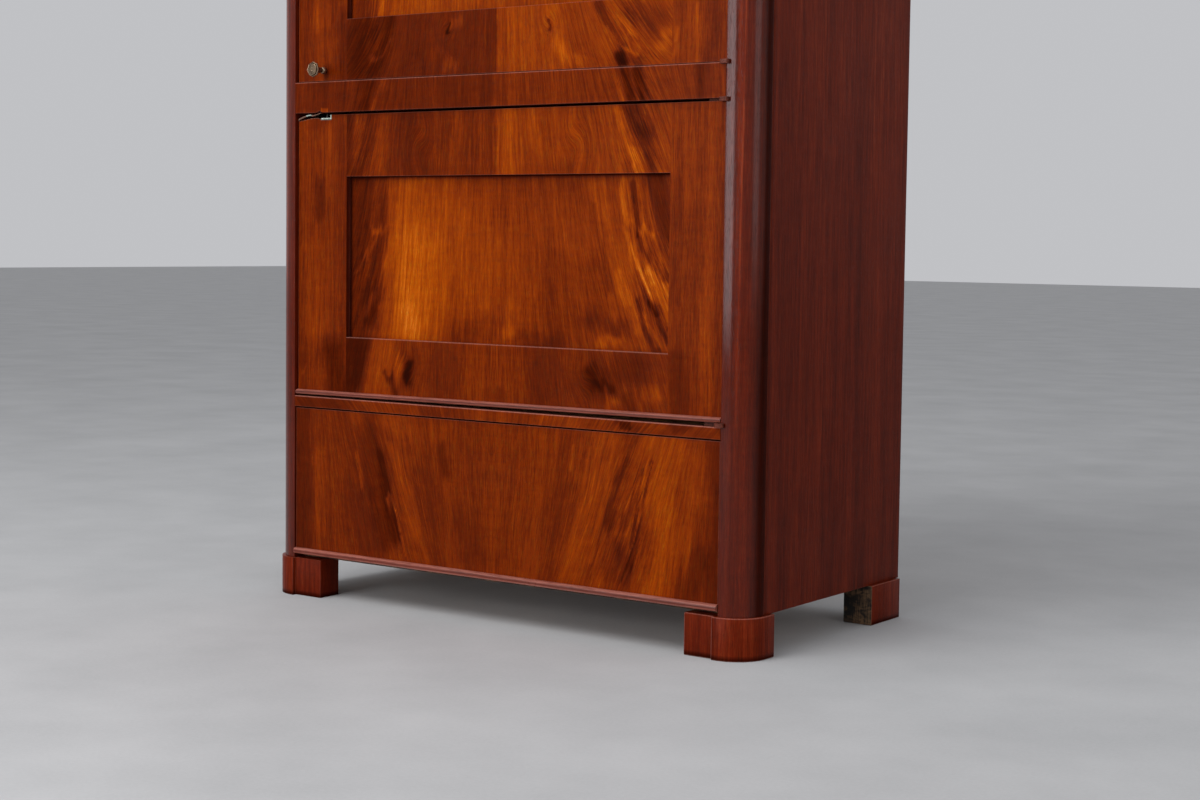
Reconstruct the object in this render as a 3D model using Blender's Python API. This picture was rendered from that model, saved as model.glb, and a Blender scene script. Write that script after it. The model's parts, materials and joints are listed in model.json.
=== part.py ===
"""Tall wardrobe with rounded corner posts: an upper and a lower door with recessed panels, and a
base drawer, on blocky feet.

Metres, +Z up. X runs along the front, Y from the front to the back. The origin is on the floor,
below the middle of the whole piece. Each door hangs on two pivots at the right of its opening.
"""

import math

import bmesh
import bpy
from mathutils import Matrix, Vector

# Overall sizes
OPENING_W = 0.960
POST_W = 0.055
DEPTH = 0.538
HEIGHT = 1.950
FOOT_H = 0.072

# Clearances
FIT = 0.0003
RUNNING_FIT = 0.00008
OVERRUN = 0.010

# Case: boards, rails and corner posts
POST_FLAT = 0.001
SIDE_T = 0.022
BOARD_T = 0.020
RAIL_T = 0.032
BACK_T = 0.010
FRIEZE_H = 0.075
CORNICE_H = 0.055
CORNICE_OUT = 0.030

# Front, from the foot up
DRAWER_LIFT = 0.008
DRAWER_H = 0.2815
DRAWER_TOP_GAP = 0.0025
THIN_RAIL_H = 0.0205
LOWER_FOOT_GAP = 0.003
LOWER_DOOR_SLANT = 0.0037
LOWER_DOOR_H = 0.5285
LOWER_HEAD_GAP = 0.004
BAND_H = 0.0575
UPPER_FOOT_GAP = 0.0015
UPPER_HEAD_GAP = 0.002
MIDDLE_FLOOR_DROP = 0.0275

# Feet
FOOT_PROUD = 0.0058
FOOT_INNER_BACK = 0.0015
FOOT_INNER_W = 0.0667
FOOT_INNER_D = 0.052
FOOT_SIDE_D = 0.082
LEFT_FOOT_STEP = 0.002
RIGHT_FOOT_STEP = 0.009
REAR_FOOT_D = 0.109
REAR_FOOT_STEP = 0.0034
REAR_FOOT_INSET = 0.004

# Doors
DOOR_SET_BACK = 0.008
DOOR_T = RAIL_T - DOOR_SET_BACK
DOOR_SIDE_GAP = 0.0015
FREE_STILE_W = 0.1232
HINGE_STILE_W = 0.1093
HEAD_RAIL_H = 0.1157
FOOT_RAIL_H = 0.113
PANEL_SET_BACK = 0.0115
PANEL_T = 0.008
GROOVE_D = 0.008
DOOR_BEAD_H = 0.0091

# Broken corner of the lower door, measured from the opening's left edge and the door's top
NOTCH_W = 0.086
NOTCH_DEPTH = 0.0125
LINING_T = 0.0028
LINING_W = 0.026
LINING_D = 0.016

# Pivot hinges
PIVOT_OUT = 0.004
PIVOT_FRONT = 0.0045
EYE_R = 0.004
PIN_R = 0.002
PIN_END = 0.0005
HINGE_T = 0.0033
HINGE_RUN = 0.0003
HINGE_PLATE_L = 0.040
HINGE_PLATE_D = 0.012
HINGE_PLATE_IN = 0.016
HINGE_ARM_W = 0.0085

# Drawer
DRAWER_SET_BACK = 0.003
DRAWER_FRONT_T = 0.024
DRAWER_SIDE_GAP = 0.0015
DRAWER_BEAD_H = 0.012
DRAWER_BEAD_D = 0.008
DRAWER_WALL_T = 0.012
DRAWER_BOX_IN = 0.010
DRAWER_HEAD_ROOM = 0.030
DRAWER_END_ROOM = 0.030
DRAWER_BOTTOM_T = 0.008
DRAWER_BOTTOM_LIFT = 0.006
RUNNER_LEDGE_H = 0.006
RUNNER_LEDGE_W = 0.018
RUNNER_GUIDE_H = 0.026
DRAWER_PLAY = 0.001
BOARD_FRONT_ROOM = 0.001

# Fittings inside the compartments
SHELF_RISE = 0.250
SHELF_SET_BACK = 0.020
CLEAT_H = 0.022
CLEAT_W = 0.018
CLEAT_END_ROOM = 0.030
CLOTHES_RAIL_R = 0.012
CLOTHES_RAIL_DROP = 0.075
SOCKET_R = 0.022
SOCKET_T = 0.016
SOCKET_END_ROOM = 0.001
STOP_W = 0.015
STOP_HEAD_ROOM = 0.035

# Knob and its tongue
KNOB_IN = 0.0708
KNOB_UP = 0.0194
SPINDLE_R = 0.004
SPINDLE_END = 0.0015
COLLAR_BASE_R = 0.0062
COLLAR_BASE_T = 0.0012
COLLAR_BALL_R = 0.007
COLLAR_BALL_OUT = 0.008
KNOB_LENGTH = 0.0375
KNOB_HEAD_R = 0.0142
KNOB_HEAD_T = 0.0052
KNOB_HEAD_BACK_R = 0.0088
KNOB_FACET = 0.0012
KNOB_DISC_R = 0.0104
KNOB_DISC_T = 0.0018
KNOB_NECK_R = 0.0046
TONGUE_T = 0.003
TONGUE_GAP = 0.0006
TONGUE_L = 0.040
TONGUE_W = 0.014
TONGUE_HUB_R = 0.009

# Slide bolt of the lower door
BOLT_IN = 0.045
BOLT_BEHIND = 0.010
BOLT_R = 0.004
BOLT_TRAVEL = 0.022
BOLT_TIP_DROP = 0.008
BOLT_KNOB_R = 0.008
BOLT_KNOB_H = 0.014
BOLT_EDGE = 0.002
BOLT_STOP_ROOM = 0.0007
BOLT_ROOM = 0.0005
GUIDE_T = 0.003
GUIDE_W = 0.030
GUIDE_D = 0.020
KEEPER_T = 0.006
KEEPER_DROP = 0.008
KEEPER_W = 0.018
KEEPER_BACK = 0.019
KEEPER_BASE_W = 0.032
KEEPER_BASE_H = 0.024
KEEPER_BASE_T = 0.0015
KEEPER_EYE = 0.0098

ROUND_STEPS = 12
CORNICE_STEPS = 8
PIN_STEPS = 24
EYE_STEPS = 10
BEAD_STEPS = 8
BALL_STEPS = 8
OCTAGON = 8
SHARP_ANGLE = 35
COLLAR_BALL_ANGLES = (-45, 50)

# The cornice's moulding: shares of its overhang and of its height, from its foot up
CORNICE_SHARES = (
    (0.10, 0.00), (0.10, 0.14), (0.24, 0.14), (0.27, 0.28), (0.38, 0.44), (0.56, 0.56),
    (0.74, 0.62), (0.80, 0.64), (0.80, 0.72), (0.93, 0.76), (1.00, 0.84), (1.00, 0.96), (0.97, 1.00),
)
# The torn floor of the broken corner: shares of its width and of its depth
TORN_SHARES = (
    (0.00, 0.78), (0.20, 0.60), (0.34, 0.46), (0.46, 0.36), (0.62, 0.38), (0.70, 0.70), (1.00, 0.70),
)
# The knob's stem from the collar to the head, as shares of the neck's radius and of the stretch
STEM_SHARES = ((1.00, 0.10), (1.25, 0.35), (1.05, 0.62), (1.60, 1.00))

# Places worked out from the sizes above
ROUND_R = POST_W - POST_FLAT
HALF_OPENING = OPENING_W / 2
HALF_WIDTH = HALF_OPENING + POST_W
FRONT_REACH = max(KNOB_LENGTH - DOOR_SET_BACK, CORNICE_OUT)
FRONT_Y = (FRONT_REACH - DEPTH) / 2
BACK_Y = FRONT_Y + DEPTH
POST_BACK = FRONT_Y + POST_W
RAIL_BACK = FRONT_Y + RAIL_T
DOOR_FACE = FRONT_Y + DOOR_SET_BACK
SIDE_IN = HALF_WIDTH - SIDE_T
INNER_HALF = SIDE_IN - FIT
INNER_BACK = BACK_Y - BACK_T - FIT

CASE_Z = FOOT_H + FIT
DRAWER_Z = FOOT_H + DRAWER_LIFT
DRAWER_TOP = DRAWER_Z + DRAWER_H
THIN_RAIL_Z = DRAWER_TOP + DRAWER_TOP_GAP
THIN_RAIL_TOP = THIN_RAIL_Z + THIN_RAIL_H
LOWER_Z = THIN_RAIL_TOP + LOWER_FOOT_GAP
LOWER_TOP = LOWER_Z + LOWER_DOOR_H
BAND_Z = LOWER_TOP + LOWER_HEAD_GAP
BAND_TOP = BAND_Z + BAND_H
UPPER_Z = BAND_TOP + UPPER_FOOT_GAP
CORNICE_Z = HEIGHT - CORNICE_H
CASE_TOP = CORNICE_Z - FIT
FRIEZE_Z = CORNICE_Z - FRIEZE_H
UPPER_TOP = FRIEZE_Z - UPPER_HEAD_GAP
BOTTOM_BOARD_TOP = CASE_Z + BOARD_T
MIDDLE_FLOOR_TOP = BAND_TOP - MIDDLE_FLOOR_DROP
TOP_BOARD_Z = CASE_TOP - BOARD_T

DOOR_LEFT = -HALF_OPENING + DOOR_SIDE_GAP
DOOR_RIGHT = HALF_OPENING - DOOR_SIDE_GAP
RECESS_LEFT = DOOR_LEFT + FREE_STILE_W
RECESS_RIGHT = DOOR_RIGHT - HINGE_STILE_W
PANEL_FACE = DOOR_FACE + PANEL_SET_BACK

PIVOT_X = HALF_OPENING + PIVOT_OUT
PIVOT_Y = FRONT_Y - PIVOT_FRONT
KNOB_X = -HALF_OPENING + KNOB_IN
KNOB_Z = UPPER_Z + KNOB_UP
BOLT_X = -HALF_OPENING + BOLT_IN
BOLT_Y = RAIL_BACK + BOLT_BEHIND
BOLT_TIP = BAND_Z - BOLT_TIP_DROP

RUNNER_TOP = BOTTOM_BOARD_TOP + FIT + RUNNER_LEDGE_H
DRAWER_BOX_Z = RUNNER_TOP + FIT
DRAWER_BOX_TOP = DRAWER_TOP - DRAWER_HEAD_ROOM
DRAWER_BOX_HALF = HALF_OPENING - DRAWER_BOX_IN
DRAWER_FACE = FRONT_Y + DRAWER_SET_BACK
DRAWER_FRONT_BACK = DRAWER_FACE + DRAWER_FRONT_T
DRAWER_BOX_FRONT = DRAWER_FRONT_BACK + FIT
DRAWER_BOX_BACK = INNER_BACK - DRAWER_END_ROOM

# Each finish: base colour, roughness, metallic
FINISHES = {
    "front_mahogany": ((0.300, 0.085, 0.022), 0.25, 0.0),
    "case_mahogany": ((0.140, 0.036, 0.016), 0.28, 0.0),
    "plain_pine": ((0.480, 0.300, 0.150), 0.60, 0.0),
    "aged_brass": ((0.420, 0.290, 0.120), 0.35, 1.0),
    "worn_iron": ((0.180, 0.170, 0.160), 0.50, 1.0),
}

# Where an outline's two directions and its drawn-out direction lie among X, Y and Z
DIRECTIONS = {"x": (1, 2, 0), "y": (0, 2, 1), "z": (0, 1, 2)}


def place(axis, first, second, along):
    """The point whose outline coordinates are first and second, at a place along the axis."""
    point = Vector((0, 0, 0))
    for direction, value in zip(DIRECTIONS[axis], (first, second, along)):
        point[direction] = value
    return point


def closed_wall(shape, rings, is_ring=False):
    """Joins rings of corners one after the other, and caps the ends or joins the last to the first."""
    count = len(rings[0])
    pairs = list(zip(rings, rings[1:]))
    if is_ring:
        pairs.append((rings[-1], rings[0]))
    else:
        shape.faces.new(rings[0])
        shape.faces.new(rings[-1])
    for here, there in pairs:
        for i in range(count):
            j = (i + 1) % count
            shape.faces.new((here[i], here[j], there[j], there[i]))
    bmesh.ops.recalc_face_normals(shape, faces=shape.faces[:])
    return shape


def drawn_out(axis, outline, low, high):
    """An outline drawn out along an axis, from low to high."""
    shape = bmesh.new()
    rings = [[shape.verts.new(place(axis, a, b, end)) for a, b in outline] for end in (low, high)]
    return closed_wall(shape, rings)


def block(x_span, y_span, z_span):
    """A plain block between two places along each direction."""
    corners = [(x_span[0], y_span[0]), (x_span[1], y_span[0]), (x_span[1], y_span[1]), (x_span[0], y_span[1])]
    return drawn_out("z", corners, z_span[0], z_span[1])


def turned(axis, centre, profile, steps, is_ring=False):
    """A profile of (radius, place along the axis) points turned round an axis through centre."""
    shape = bmesh.new()
    rings = []
    for radius, along in profile:
        ring = []
        for i in range(steps):
            angle = math.tau * i / steps
            a = centre[0] + radius * math.cos(angle)
            b = centre[1] + radius * math.sin(angle)
            ring.append(shape.verts.new(place(axis, a, b, along)))
        rings.append(ring)
    return closed_wall(shape, rings, is_ring)


def arc(centre, radius, start, end, steps):
    """Points along an arc, with both of its ends; angles in degrees."""
    angles = [math.radians(start + (end - start) * i / steps) for i in range(steps + 1)]
    return [(centre[0] + radius * math.cos(a), centre[1] + radius * math.sin(a)) for a in angles]


def mesh_object(name, shape):
    """A named object that holds the finished shape."""
    mesh = bpy.data.meshes.new(name)
    shape.to_mesh(mesh)
    shape.free()
    thing = bpy.data.objects.new(name, mesh)
    bpy.context.collection.objects.link(thing)
    return thing


def give_finish(piece, finish):
    """The piece's own material, in one of the finishes above."""
    colour, roughness, metallic = FINISHES[finish]
    material = bpy.data.materials.new(f"{piece.name}_{finish}")
    material.use_nodes = True
    shader = material.node_tree.nodes["Principled BSDF"]
    shader.inputs["Base Color"].default_value = (*colour, 1)
    shader.inputs["Roughness"].default_value = roughness
    shader.inputs["Metallic"].default_value = metallic
    piece.data.materials.append(material)


def hang_on(thing, carrier):
    """Parents a thing, drawn in world places, to an empty."""
    thing.parent = carrier
    thing.matrix_parent_inverse = Matrix.Translation(-Vector(carrier["place"]))


def make_piece(name, shape, finish, carrier=None, is_round=False):
    """One sub-part of the wardrobe, with its finish, on what carries it."""
    piece = mesh_object(name, shape)
    give_finish(piece, finish)
    if is_round:
        piece.data.shade_smooth()
        piece.data.set_sharp_from_angle(angle=math.radians(SHARP_ANGLE))
    if carrier:
        hang_on(piece, carrier)
    return piece


def make_carrier(name, where, carrier=None):
    """An empty on a joint's axis, which carries the pieces that move there."""
    empty = bpy.data.objects.new(name, None)
    empty["place"] = where
    empty.location = where
    bpy.context.collection.objects.link(empty)
    if carrier:
        hang_on(empty, carrier)
    return empty


def make_tool(name, shape):
    """A shape that only cuts or joins others, and isn't part of the wardrobe."""
    tool = mesh_object(name, shape)
    tool.hide_render = True
    tool.display_type = "WIRE"
    return tool


def combine(piece, tool, operation):
    """Cuts a tool out of a piece, or joins it on."""
    step = piece.modifiers.new(f"{operation.lower()}_{tool.name}", "BOOLEAN")
    step.operation = operation
    step.solver = "EXACT"
    step.object = tool


def lower_foot(x):
    """Height of the lower door's slanted foot edge at a place along the front."""
    return LOWER_Z + LOWER_DOOR_SLANT * (x + HALF_OPENING) / OPENING_W


def post_outline(side):
    """Plan of a corner post, with nearly its whole front corner rounded."""
    centre = (HALF_OPENING + POST_FLAT, FRONT_Y + ROUND_R)
    outline = [(HALF_OPENING, FRONT_Y)]
    outline += arc(centre, ROUND_R, -90, 0, ROUND_STEPS)
    outline += [(HALF_WIDTH, POST_BACK), (HALF_OPENING, POST_BACK)]
    return [(side * x, y) for x, y in outline]


def board_outline(front):
    """Plan of a board that runs between the posts and widens behind them to the side panels."""
    narrow = HALF_OPENING - FIT
    step = POST_BACK + FIT
    half = [(narrow, front), (narrow, step), (INNER_HALF, step), (INNER_HALF, INNER_BACK)]
    return half + [(-x, y) for x, y in reversed(half)]


def case_outline(out):
    """Plan of the whole case, grown by an overhang at its front and sides."""
    centre = (HALF_OPENING + POST_FLAT, FRONT_Y + ROUND_R)
    half = arc(centre, ROUND_R + out, -90, 0, CORNICE_STEPS) + [(HALF_WIDTH + out, BACK_Y)]
    return half + [(-x, y) for x, y in reversed(half)]


def make_rail(name, low, high, finish="front_mahogany"):
    """A rail across the front opening."""
    x_span = (-HALF_OPENING + FIT, HALF_OPENING - FIT)
    return make_piece(name, block(x_span, (FRONT_Y, RAIL_BACK), (low, high)), finish)


def build_case():
    """Posts, sides, rails, boards, back and cornice. Returns the rails that hold hinge plates."""
    for side, word in ((-1, "left"), (1, "right")):
        post = drawn_out("z", post_outline(side), CASE_Z, CASE_TOP)
        make_piece(f"corner_post_{word}", post, "case_mahogany", is_round=True)
        x_span = sorted((side * SIDE_IN, side * HALF_WIDTH))
        panel = block(x_span, (POST_BACK + FIT, BACK_Y), (CASE_Z, CASE_TOP))
        make_piece(f"side_panel_{word}", panel, "case_mahogany")
        x_span = sorted((side * FIT / 2, side * INNER_HALF))
        back = block(x_span, (BACK_Y - BACK_T, BACK_Y), (CASE_Z, CASE_TOP))
        make_piece(f"back_board_{word}", back, "plain_pine")

    bottom = drawn_out("z", board_outline(DRAWER_FRONT_BACK + BOARD_FRONT_ROOM), CASE_Z, BOTTOM_BOARD_TOP)
    make_piece("bottom_board", bottom, "plain_pine")
    behind_rails = board_outline(RAIL_BACK + FIT)
    dust = drawn_out("z", behind_rails, THIN_RAIL_TOP - BOARD_T, THIN_RAIL_TOP)
    make_piece("dust_board", dust, "plain_pine")
    floor = drawn_out("z", behind_rails, MIDDLE_FLOOR_TOP - BOARD_T, MIDDLE_FLOOR_TOP)
    middle_floor = make_piece("middle_floor", floor, "plain_pine")
    hole = [(BOLT_R + BOLT_ROOM, MIDDLE_FLOOR_TOP + end) for end in (-BOARD_T - OVERRUN, OVERRUN)]
    hole = make_tool("bolt_hole", turned("z", (BOLT_X, BOLT_Y), hole, PIN_STEPS))
    combine(middle_floor, hole, "DIFFERENCE")
    make_piece("top_board", drawn_out("z", behind_rails, TOP_BOARD_Z, CASE_TOP), "plain_pine")

    shape = bmesh.new()
    rings = []
    for out_share, height_share in CORNICE_SHARES:
        z = CORNICE_Z + height_share * CORNICE_H
        rings.append([shape.verts.new((x, y, z)) for x, y in case_outline(out_share * CORNICE_OUT)])
    make_piece("cornice", closed_wall(shape, rings), "case_mahogany", is_round=True)

    return {
        "thin_rail": make_rail("thin_rail", THIN_RAIL_Z, THIN_RAIL_TOP),
        "middle_band": make_rail("middle_band", BAND_Z, BAND_TOP),
        "frieze_rail": make_rail("frieze_rail", FRIEZE_Z, CASE_TOP),
    }


def front_foot_outline(side, step_in):
    """Plan of a front foot: a rounded outer block that stands proud, and an inner block set back."""
    inner = HALF_OPENING - FOOT_INNER_W
    step = HALF_OPENING - step_in
    outer_front = FRONT_Y - FOOT_PROUD
    inner_front = FRONT_Y + FOOT_INNER_BACK
    outline = [(inner, inner_front), (step, inner_front), (step, outer_front)]
    centre = (HALF_OPENING + POST_FLAT, FRONT_Y + ROUND_R)
    outline += arc(centre, ROUND_R + FOOT_PROUD, -90, 0, ROUND_STEPS)
    outline += [(HALF_WIDTH + FOOT_PROUD, FRONT_Y + FOOT_SIDE_D), (HALF_OPENING, FRONT_Y + FOOT_SIDE_D)]
    outline += [(HALF_OPENING, FRONT_Y + FOOT_INNER_D), (inner, FRONT_Y + FOOT_INNER_D)]
    return [(side * x, y) for x, y in outline]


def build_feet():
    for side, word, step_in in ((-1, "left", LEFT_FOOT_STEP), (1, "right", RIGHT_FOOT_STEP)):
        front = drawn_out("z", front_foot_outline(side, step_in), 0, FOOT_H)
        make_piece(f"front_foot_{word}", front, "case_mahogany", is_round=True)
        x_span = sorted((side * (HALF_OPENING + REAR_FOOT_STEP), side * (HALF_WIDTH + FOOT_PROUD)))
        rear_end = BACK_Y - REAR_FOOT_INSET
        rear = block(x_span, (rear_end - REAR_FOOT_D, rear_end), (0, FOOT_H))
        make_piece(f"rear_foot_{word}", rear, "case_mahogany")


def build_fittings():
    """Shelf, cleats, clothes rail, sockets, drawer runners and door stops."""
    shelf_top = THIN_RAIL_TOP + SHELF_RISE
    shelf_low = shelf_top - BOARD_T
    shelf_front = POST_BACK + SHELF_SET_BACK
    shelf = block((-INNER_HALF, INNER_HALF), (shelf_front, INNER_BACK), (shelf_low, shelf_top))
    make_piece("shelf", shelf, "plain_pine")

    rail_y = (POST_BACK + INNER_BACK) / 2
    rail_z = TOP_BOARD_Z - CLOTHES_RAIL_DROP
    rail_end = SIDE_IN - SOCKET_END_ROOM
    rail_line = [(CLOTHES_RAIL_R, -rail_end), (CLOTHES_RAIL_R, rail_end)]
    rail = turned("x", (rail_y, rail_z), rail_line, PIN_STEPS)
    make_piece("clothes_rail", rail, "plain_pine", is_round=True)

    runner_low = BOTTOM_BOARD_TOP + FIT
    guide_in = DRAWER_BOX_HALF + DRAWER_PLAY
    ledge_in = DRAWER_BOX_HALF - RUNNER_LEDGE_W
    for side, word in ((-1, "left"), (1, "right")):
        x_span = sorted((side * (INNER_HALF - CLEAT_W), side * INNER_HALF))
        cleat_z = (shelf_low - FIT - CLEAT_H, shelf_low - FIT)
        cleat = block(x_span, (shelf_front, INNER_BACK - CLEAT_END_ROOM), cleat_z)
        make_piece(f"shelf_cleat_{word}", cleat, "plain_pine")

        wall_end, free_end = side * INNER_HALF, side * (INNER_HALF - SOCKET_T)
        bore = CLOTHES_RAIL_R + FIT
        ring = [(bore, wall_end), (SOCKET_R, wall_end), (SOCKET_R, free_end), (bore, free_end)]
        socket = turned("x", (rail_y, rail_z), ring, PIN_STEPS, is_ring=True)
        make_piece(f"rail_socket_{word}", socket, "plain_pine", is_round=True)

        section = [
            (ledge_in, runner_low), (INNER_HALF, runner_low), (INNER_HALF, runner_low + RUNNER_GUIDE_H),
            (guide_in, runner_low + RUNNER_GUIDE_H), (guide_in, RUNNER_TOP), (ledge_in, RUNNER_TOP),
        ]
        section = [(side * x, z) for x, z in section]
        runner = drawn_out("y", section, POST_BACK + FIT, INNER_BACK)
        make_piece(f"drawer_runner_{word}", runner, "plain_pine")

    stop_x = (-HALF_OPENING + FIT, -HALF_OPENING + STOP_W)
    stop_y = (RAIL_BACK + FIT, POST_BACK)
    lower_stop = block(stop_x, stop_y, (THIN_RAIL_TOP + FIT, LOWER_TOP - STOP_HEAD_ROOM))
    make_piece("door_stop_lower", lower_stop, "plain_pine")
    upper_stop = block(stop_x, stop_y, (MIDDLE_FLOOR_TOP + FIT, TOP_BOARD_Z - FIT))
    make_piece("door_stop_upper", upper_stop, "plain_pine")


def build_door(name, foot_at, top, carrier):
    """Stiles, rails and a panel in a groove. foot_at gives the foot edge's height at an X."""
    door_y = (DOOR_FACE, DOOR_FACE + DOOR_T)
    recess_low = foot_at(DOOR_LEFT) + FOOT_RAIL_H
    recess_high = top - HEAD_RAIL_H
    groove = GROOVE_D + FIT
    seat = block(
        (RECESS_LEFT - groove, RECESS_RIGHT + groove),
        (PANEL_FACE - FIT, PANEL_FACE + PANEL_T + FIT),
        (recess_low - groove, recess_high + groove),
    )
    seat_tool = make_tool(f"{name}_groove", seat)

    spans = {"stile_left": (DOOR_LEFT, RECESS_LEFT), "stile_right": (RECESS_RIGHT, DOOR_RIGHT)}
    spans["rail_foot"] = (RECESS_LEFT + FIT, RECESS_RIGHT - FIT)
    members = {}
    for word, (left, right) in spans.items():
        high = recess_low if word == "rail_foot" else top
        outline = [(left, foot_at(left)), (right, foot_at(right)), (right, high), (left, high)]
        if name == "lower_door" and word == "stile_left":
            outline = outline[:3] + torn_corner()
        member = drawn_out("y", outline, *door_y)
        members[word] = make_piece(f"{name}_{word}", member, "front_mahogany", carrier)
    head = block(spans["rail_foot"], door_y, (recess_high, top))
    members["rail_head"] = make_piece(f"{name}_rail_head", head, "front_mahogany", carrier)
    for member in members.values():
        combine(member, seat_tool, "DIFFERENCE")

    panel = block(
        (RECESS_LEFT - GROOVE_D, RECESS_RIGHT + GROOVE_D),
        (PANEL_FACE, PANEL_FACE + PANEL_T),
        (recess_low - GROOVE_D, recess_high + GROOVE_D),
    )
    make_piece(f"{name}_panel", panel, "front_mahogany", carrier)
    return members


def torn_corner():
    """The broken top left corner of the lower door, from its wall down and along its torn floor."""
    wall = -HALF_OPENING + NOTCH_W
    floor = [
        (-HALF_OPENING + across * NOTCH_W, LOWER_TOP - down * NOTCH_DEPTH) for across, down in TORN_SHARES
    ]
    floor[0] = (DOOR_LEFT, floor[0][1])
    return [(wall, LOWER_TOP)] + floor[::-1]


def half_round(back, front, low, high):
    """Section of a half-round bead between two heights, from its flat back to its nose."""
    middle = (low + high) / 2
    half = (high - low) / 2
    section = []
    for i in range(BEAD_STEPS + 1):
        angle = math.pi * i / BEAD_STEPS
        section.append((back - (back - front) * math.sin(angle), middle - half * math.cos(angle)))
    return section


def build_lower_door(carrier):
    members = build_door("lower_door", lower_foot, LOWER_TOP, carrier)

    section = half_round(DOOR_FACE - FIT, FRONT_Y, 0, DOOR_BEAD_H)
    bead = drawn_out("x", section, DOOR_LEFT, DOOR_RIGHT)
    for corner in bead.verts:
        corner.co.z += lower_foot(corner.co.x)
    members["bead"] = make_piece("lower_door_bead", bead, "front_mahogany", carrier, is_round=True)

    wall = -HALF_OPENING + NOTCH_W - FIT
    floor = LOWER_TOP - TORN_SHARES[-1][1] * NOTCH_DEPTH + FIT
    outline = [
        (wall - LINING_W, floor), (wall, floor), (wall, LOWER_TOP), (wall - LINING_T, LOWER_TOP),
        (wall - LINING_T, floor + LINING_T), (wall - LINING_W, floor + LINING_T),
    ]
    lining = drawn_out("y", outline, DOOR_FACE, DOOR_FACE + LINING_D)
    make_piece("catch_lining", lining, "aged_brass", carrier)

    top = LOWER_TOP - NOTCH_DEPTH - KEEPER_DROP + KEEPER_T
    back = RAIL_BACK + FIT
    base_x = (BOLT_X - KEEPER_BASE_W / 2, BOLT_X + KEEPER_BASE_W / 2)
    base = block(base_x, (back, back + KEEPER_BASE_T), (top - KEEPER_BASE_H, top - KEEPER_T / 2))
    keeper = make_piece("bolt_keeper", base, "worn_iron", carrier)
    lug_x = (BOLT_X - KEEPER_W / 2, BOLT_X + KEEPER_W / 2)
    lug_y = (back + KEEPER_BASE_T / 2, RAIL_BACK + KEEPER_BACK)
    lug = make_tool("keeper_lug", block(lug_x, lug_y, (top - KEEPER_T, top)))
    combine(keeper, lug, "UNION")
    eye_x = (BOLT_X - KEEPER_EYE / 2, BOLT_X + KEEPER_EYE / 2)
    eye_y = (BOLT_Y - KEEPER_EYE / 2, BOLT_Y + KEEPER_EYE / 2)
    eye = make_tool("keeper_eye", block(eye_x, eye_y, (top - KEEPER_T - OVERRUN, top + OVERRUN)))
    combine(keeper, eye, "DIFFERENCE")
    return members


def hinge_outline(grow=0.0):
    """Plan of a pivot plate: a plate let into the wood and an arm that reaches forward to the eye.
    Grown, it is the plan of the plate's housing, open at the wood's end and front."""
    right = DOOR_RIGHT
    left = right - HINGE_PLATE_L - grow
    arm_left = right - HINGE_ARM_W - grow
    plate_front = FRONT_Y + HINGE_PLATE_IN - grow
    plate_back = FRONT_Y + HINGE_PLATE_IN + HINGE_PLATE_D + grow
    outline = [(left, plate_back), (left, plate_front), (arm_left, plate_front)]
    if grow:
        open_right, open_front = right + OVERRUN, PIVOT_Y - OVERRUN
        outline += [(arm_left, open_front), (open_right, open_front), (open_right, plate_back)]
        return outline
    outline += [(arm_left, PIVOT_Y), (arm_left + EYE_R, PIVOT_Y - EYE_R)]
    outline += arc((PIVOT_X, PIVOT_Y), EYE_R, -90, 90, EYE_STEPS)
    outline += [(right, PIVOT_Y + EYE_R), (right, plate_back)]
    return outline


def build_pivot(name, case_piece, door_pieces, gap, carrier):
    """One pivot in the gap between door and case: a plate with a pin on the case, and a plate
    with an eye on the door."""
    middle = sum(gap) / 2
    up = 1 if name.endswith("foot") else -1
    near, far = up * HINGE_RUN / 2, up * (HINGE_RUN / 2 + HINGE_T)
    centre = (PIVOT_X, PIVOT_Y)

    case_plate = drawn_out("z", hinge_outline(), middle - far, middle - near)
    case_plate = make_piece(f"{name}_case_plate", case_plate, "worn_iron")
    pin_tip = middle + far + up * PIN_END
    pin = turned("z", centre, [(PIN_R, middle - (near + far) / 2), (PIN_R, pin_tip)], PIN_STEPS)
    combine(case_plate, make_tool(f"{name}_pin", pin), "UNION")

    door_plate = drawn_out("z", hinge_outline(), middle + near, middle + far)
    door_plate = make_piece(f"{name}_door_plate", door_plate, "worn_iron", carrier)
    bore_r = PIN_R + RUNNING_FIT
    bore = turned("z", centre, [(bore_r, middle), (bore_r, middle + far + up * OVERRUN)], PIN_STEPS)
    combine(door_plate, make_tool(f"{name}_bore", bore), "DIFFERENCE")

    deep = far + up * FIT
    for pieces, end, word in (([case_piece], -deep, "case"), (door_pieces, deep, "door")):
        housing = drawn_out("z", hinge_outline(FIT), middle, middle + end)
        housing = make_tool(f"{name}_{word}_housing", housing)
        for piece in pieces:
            combine(piece, housing, "DIFFERENCE")


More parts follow.
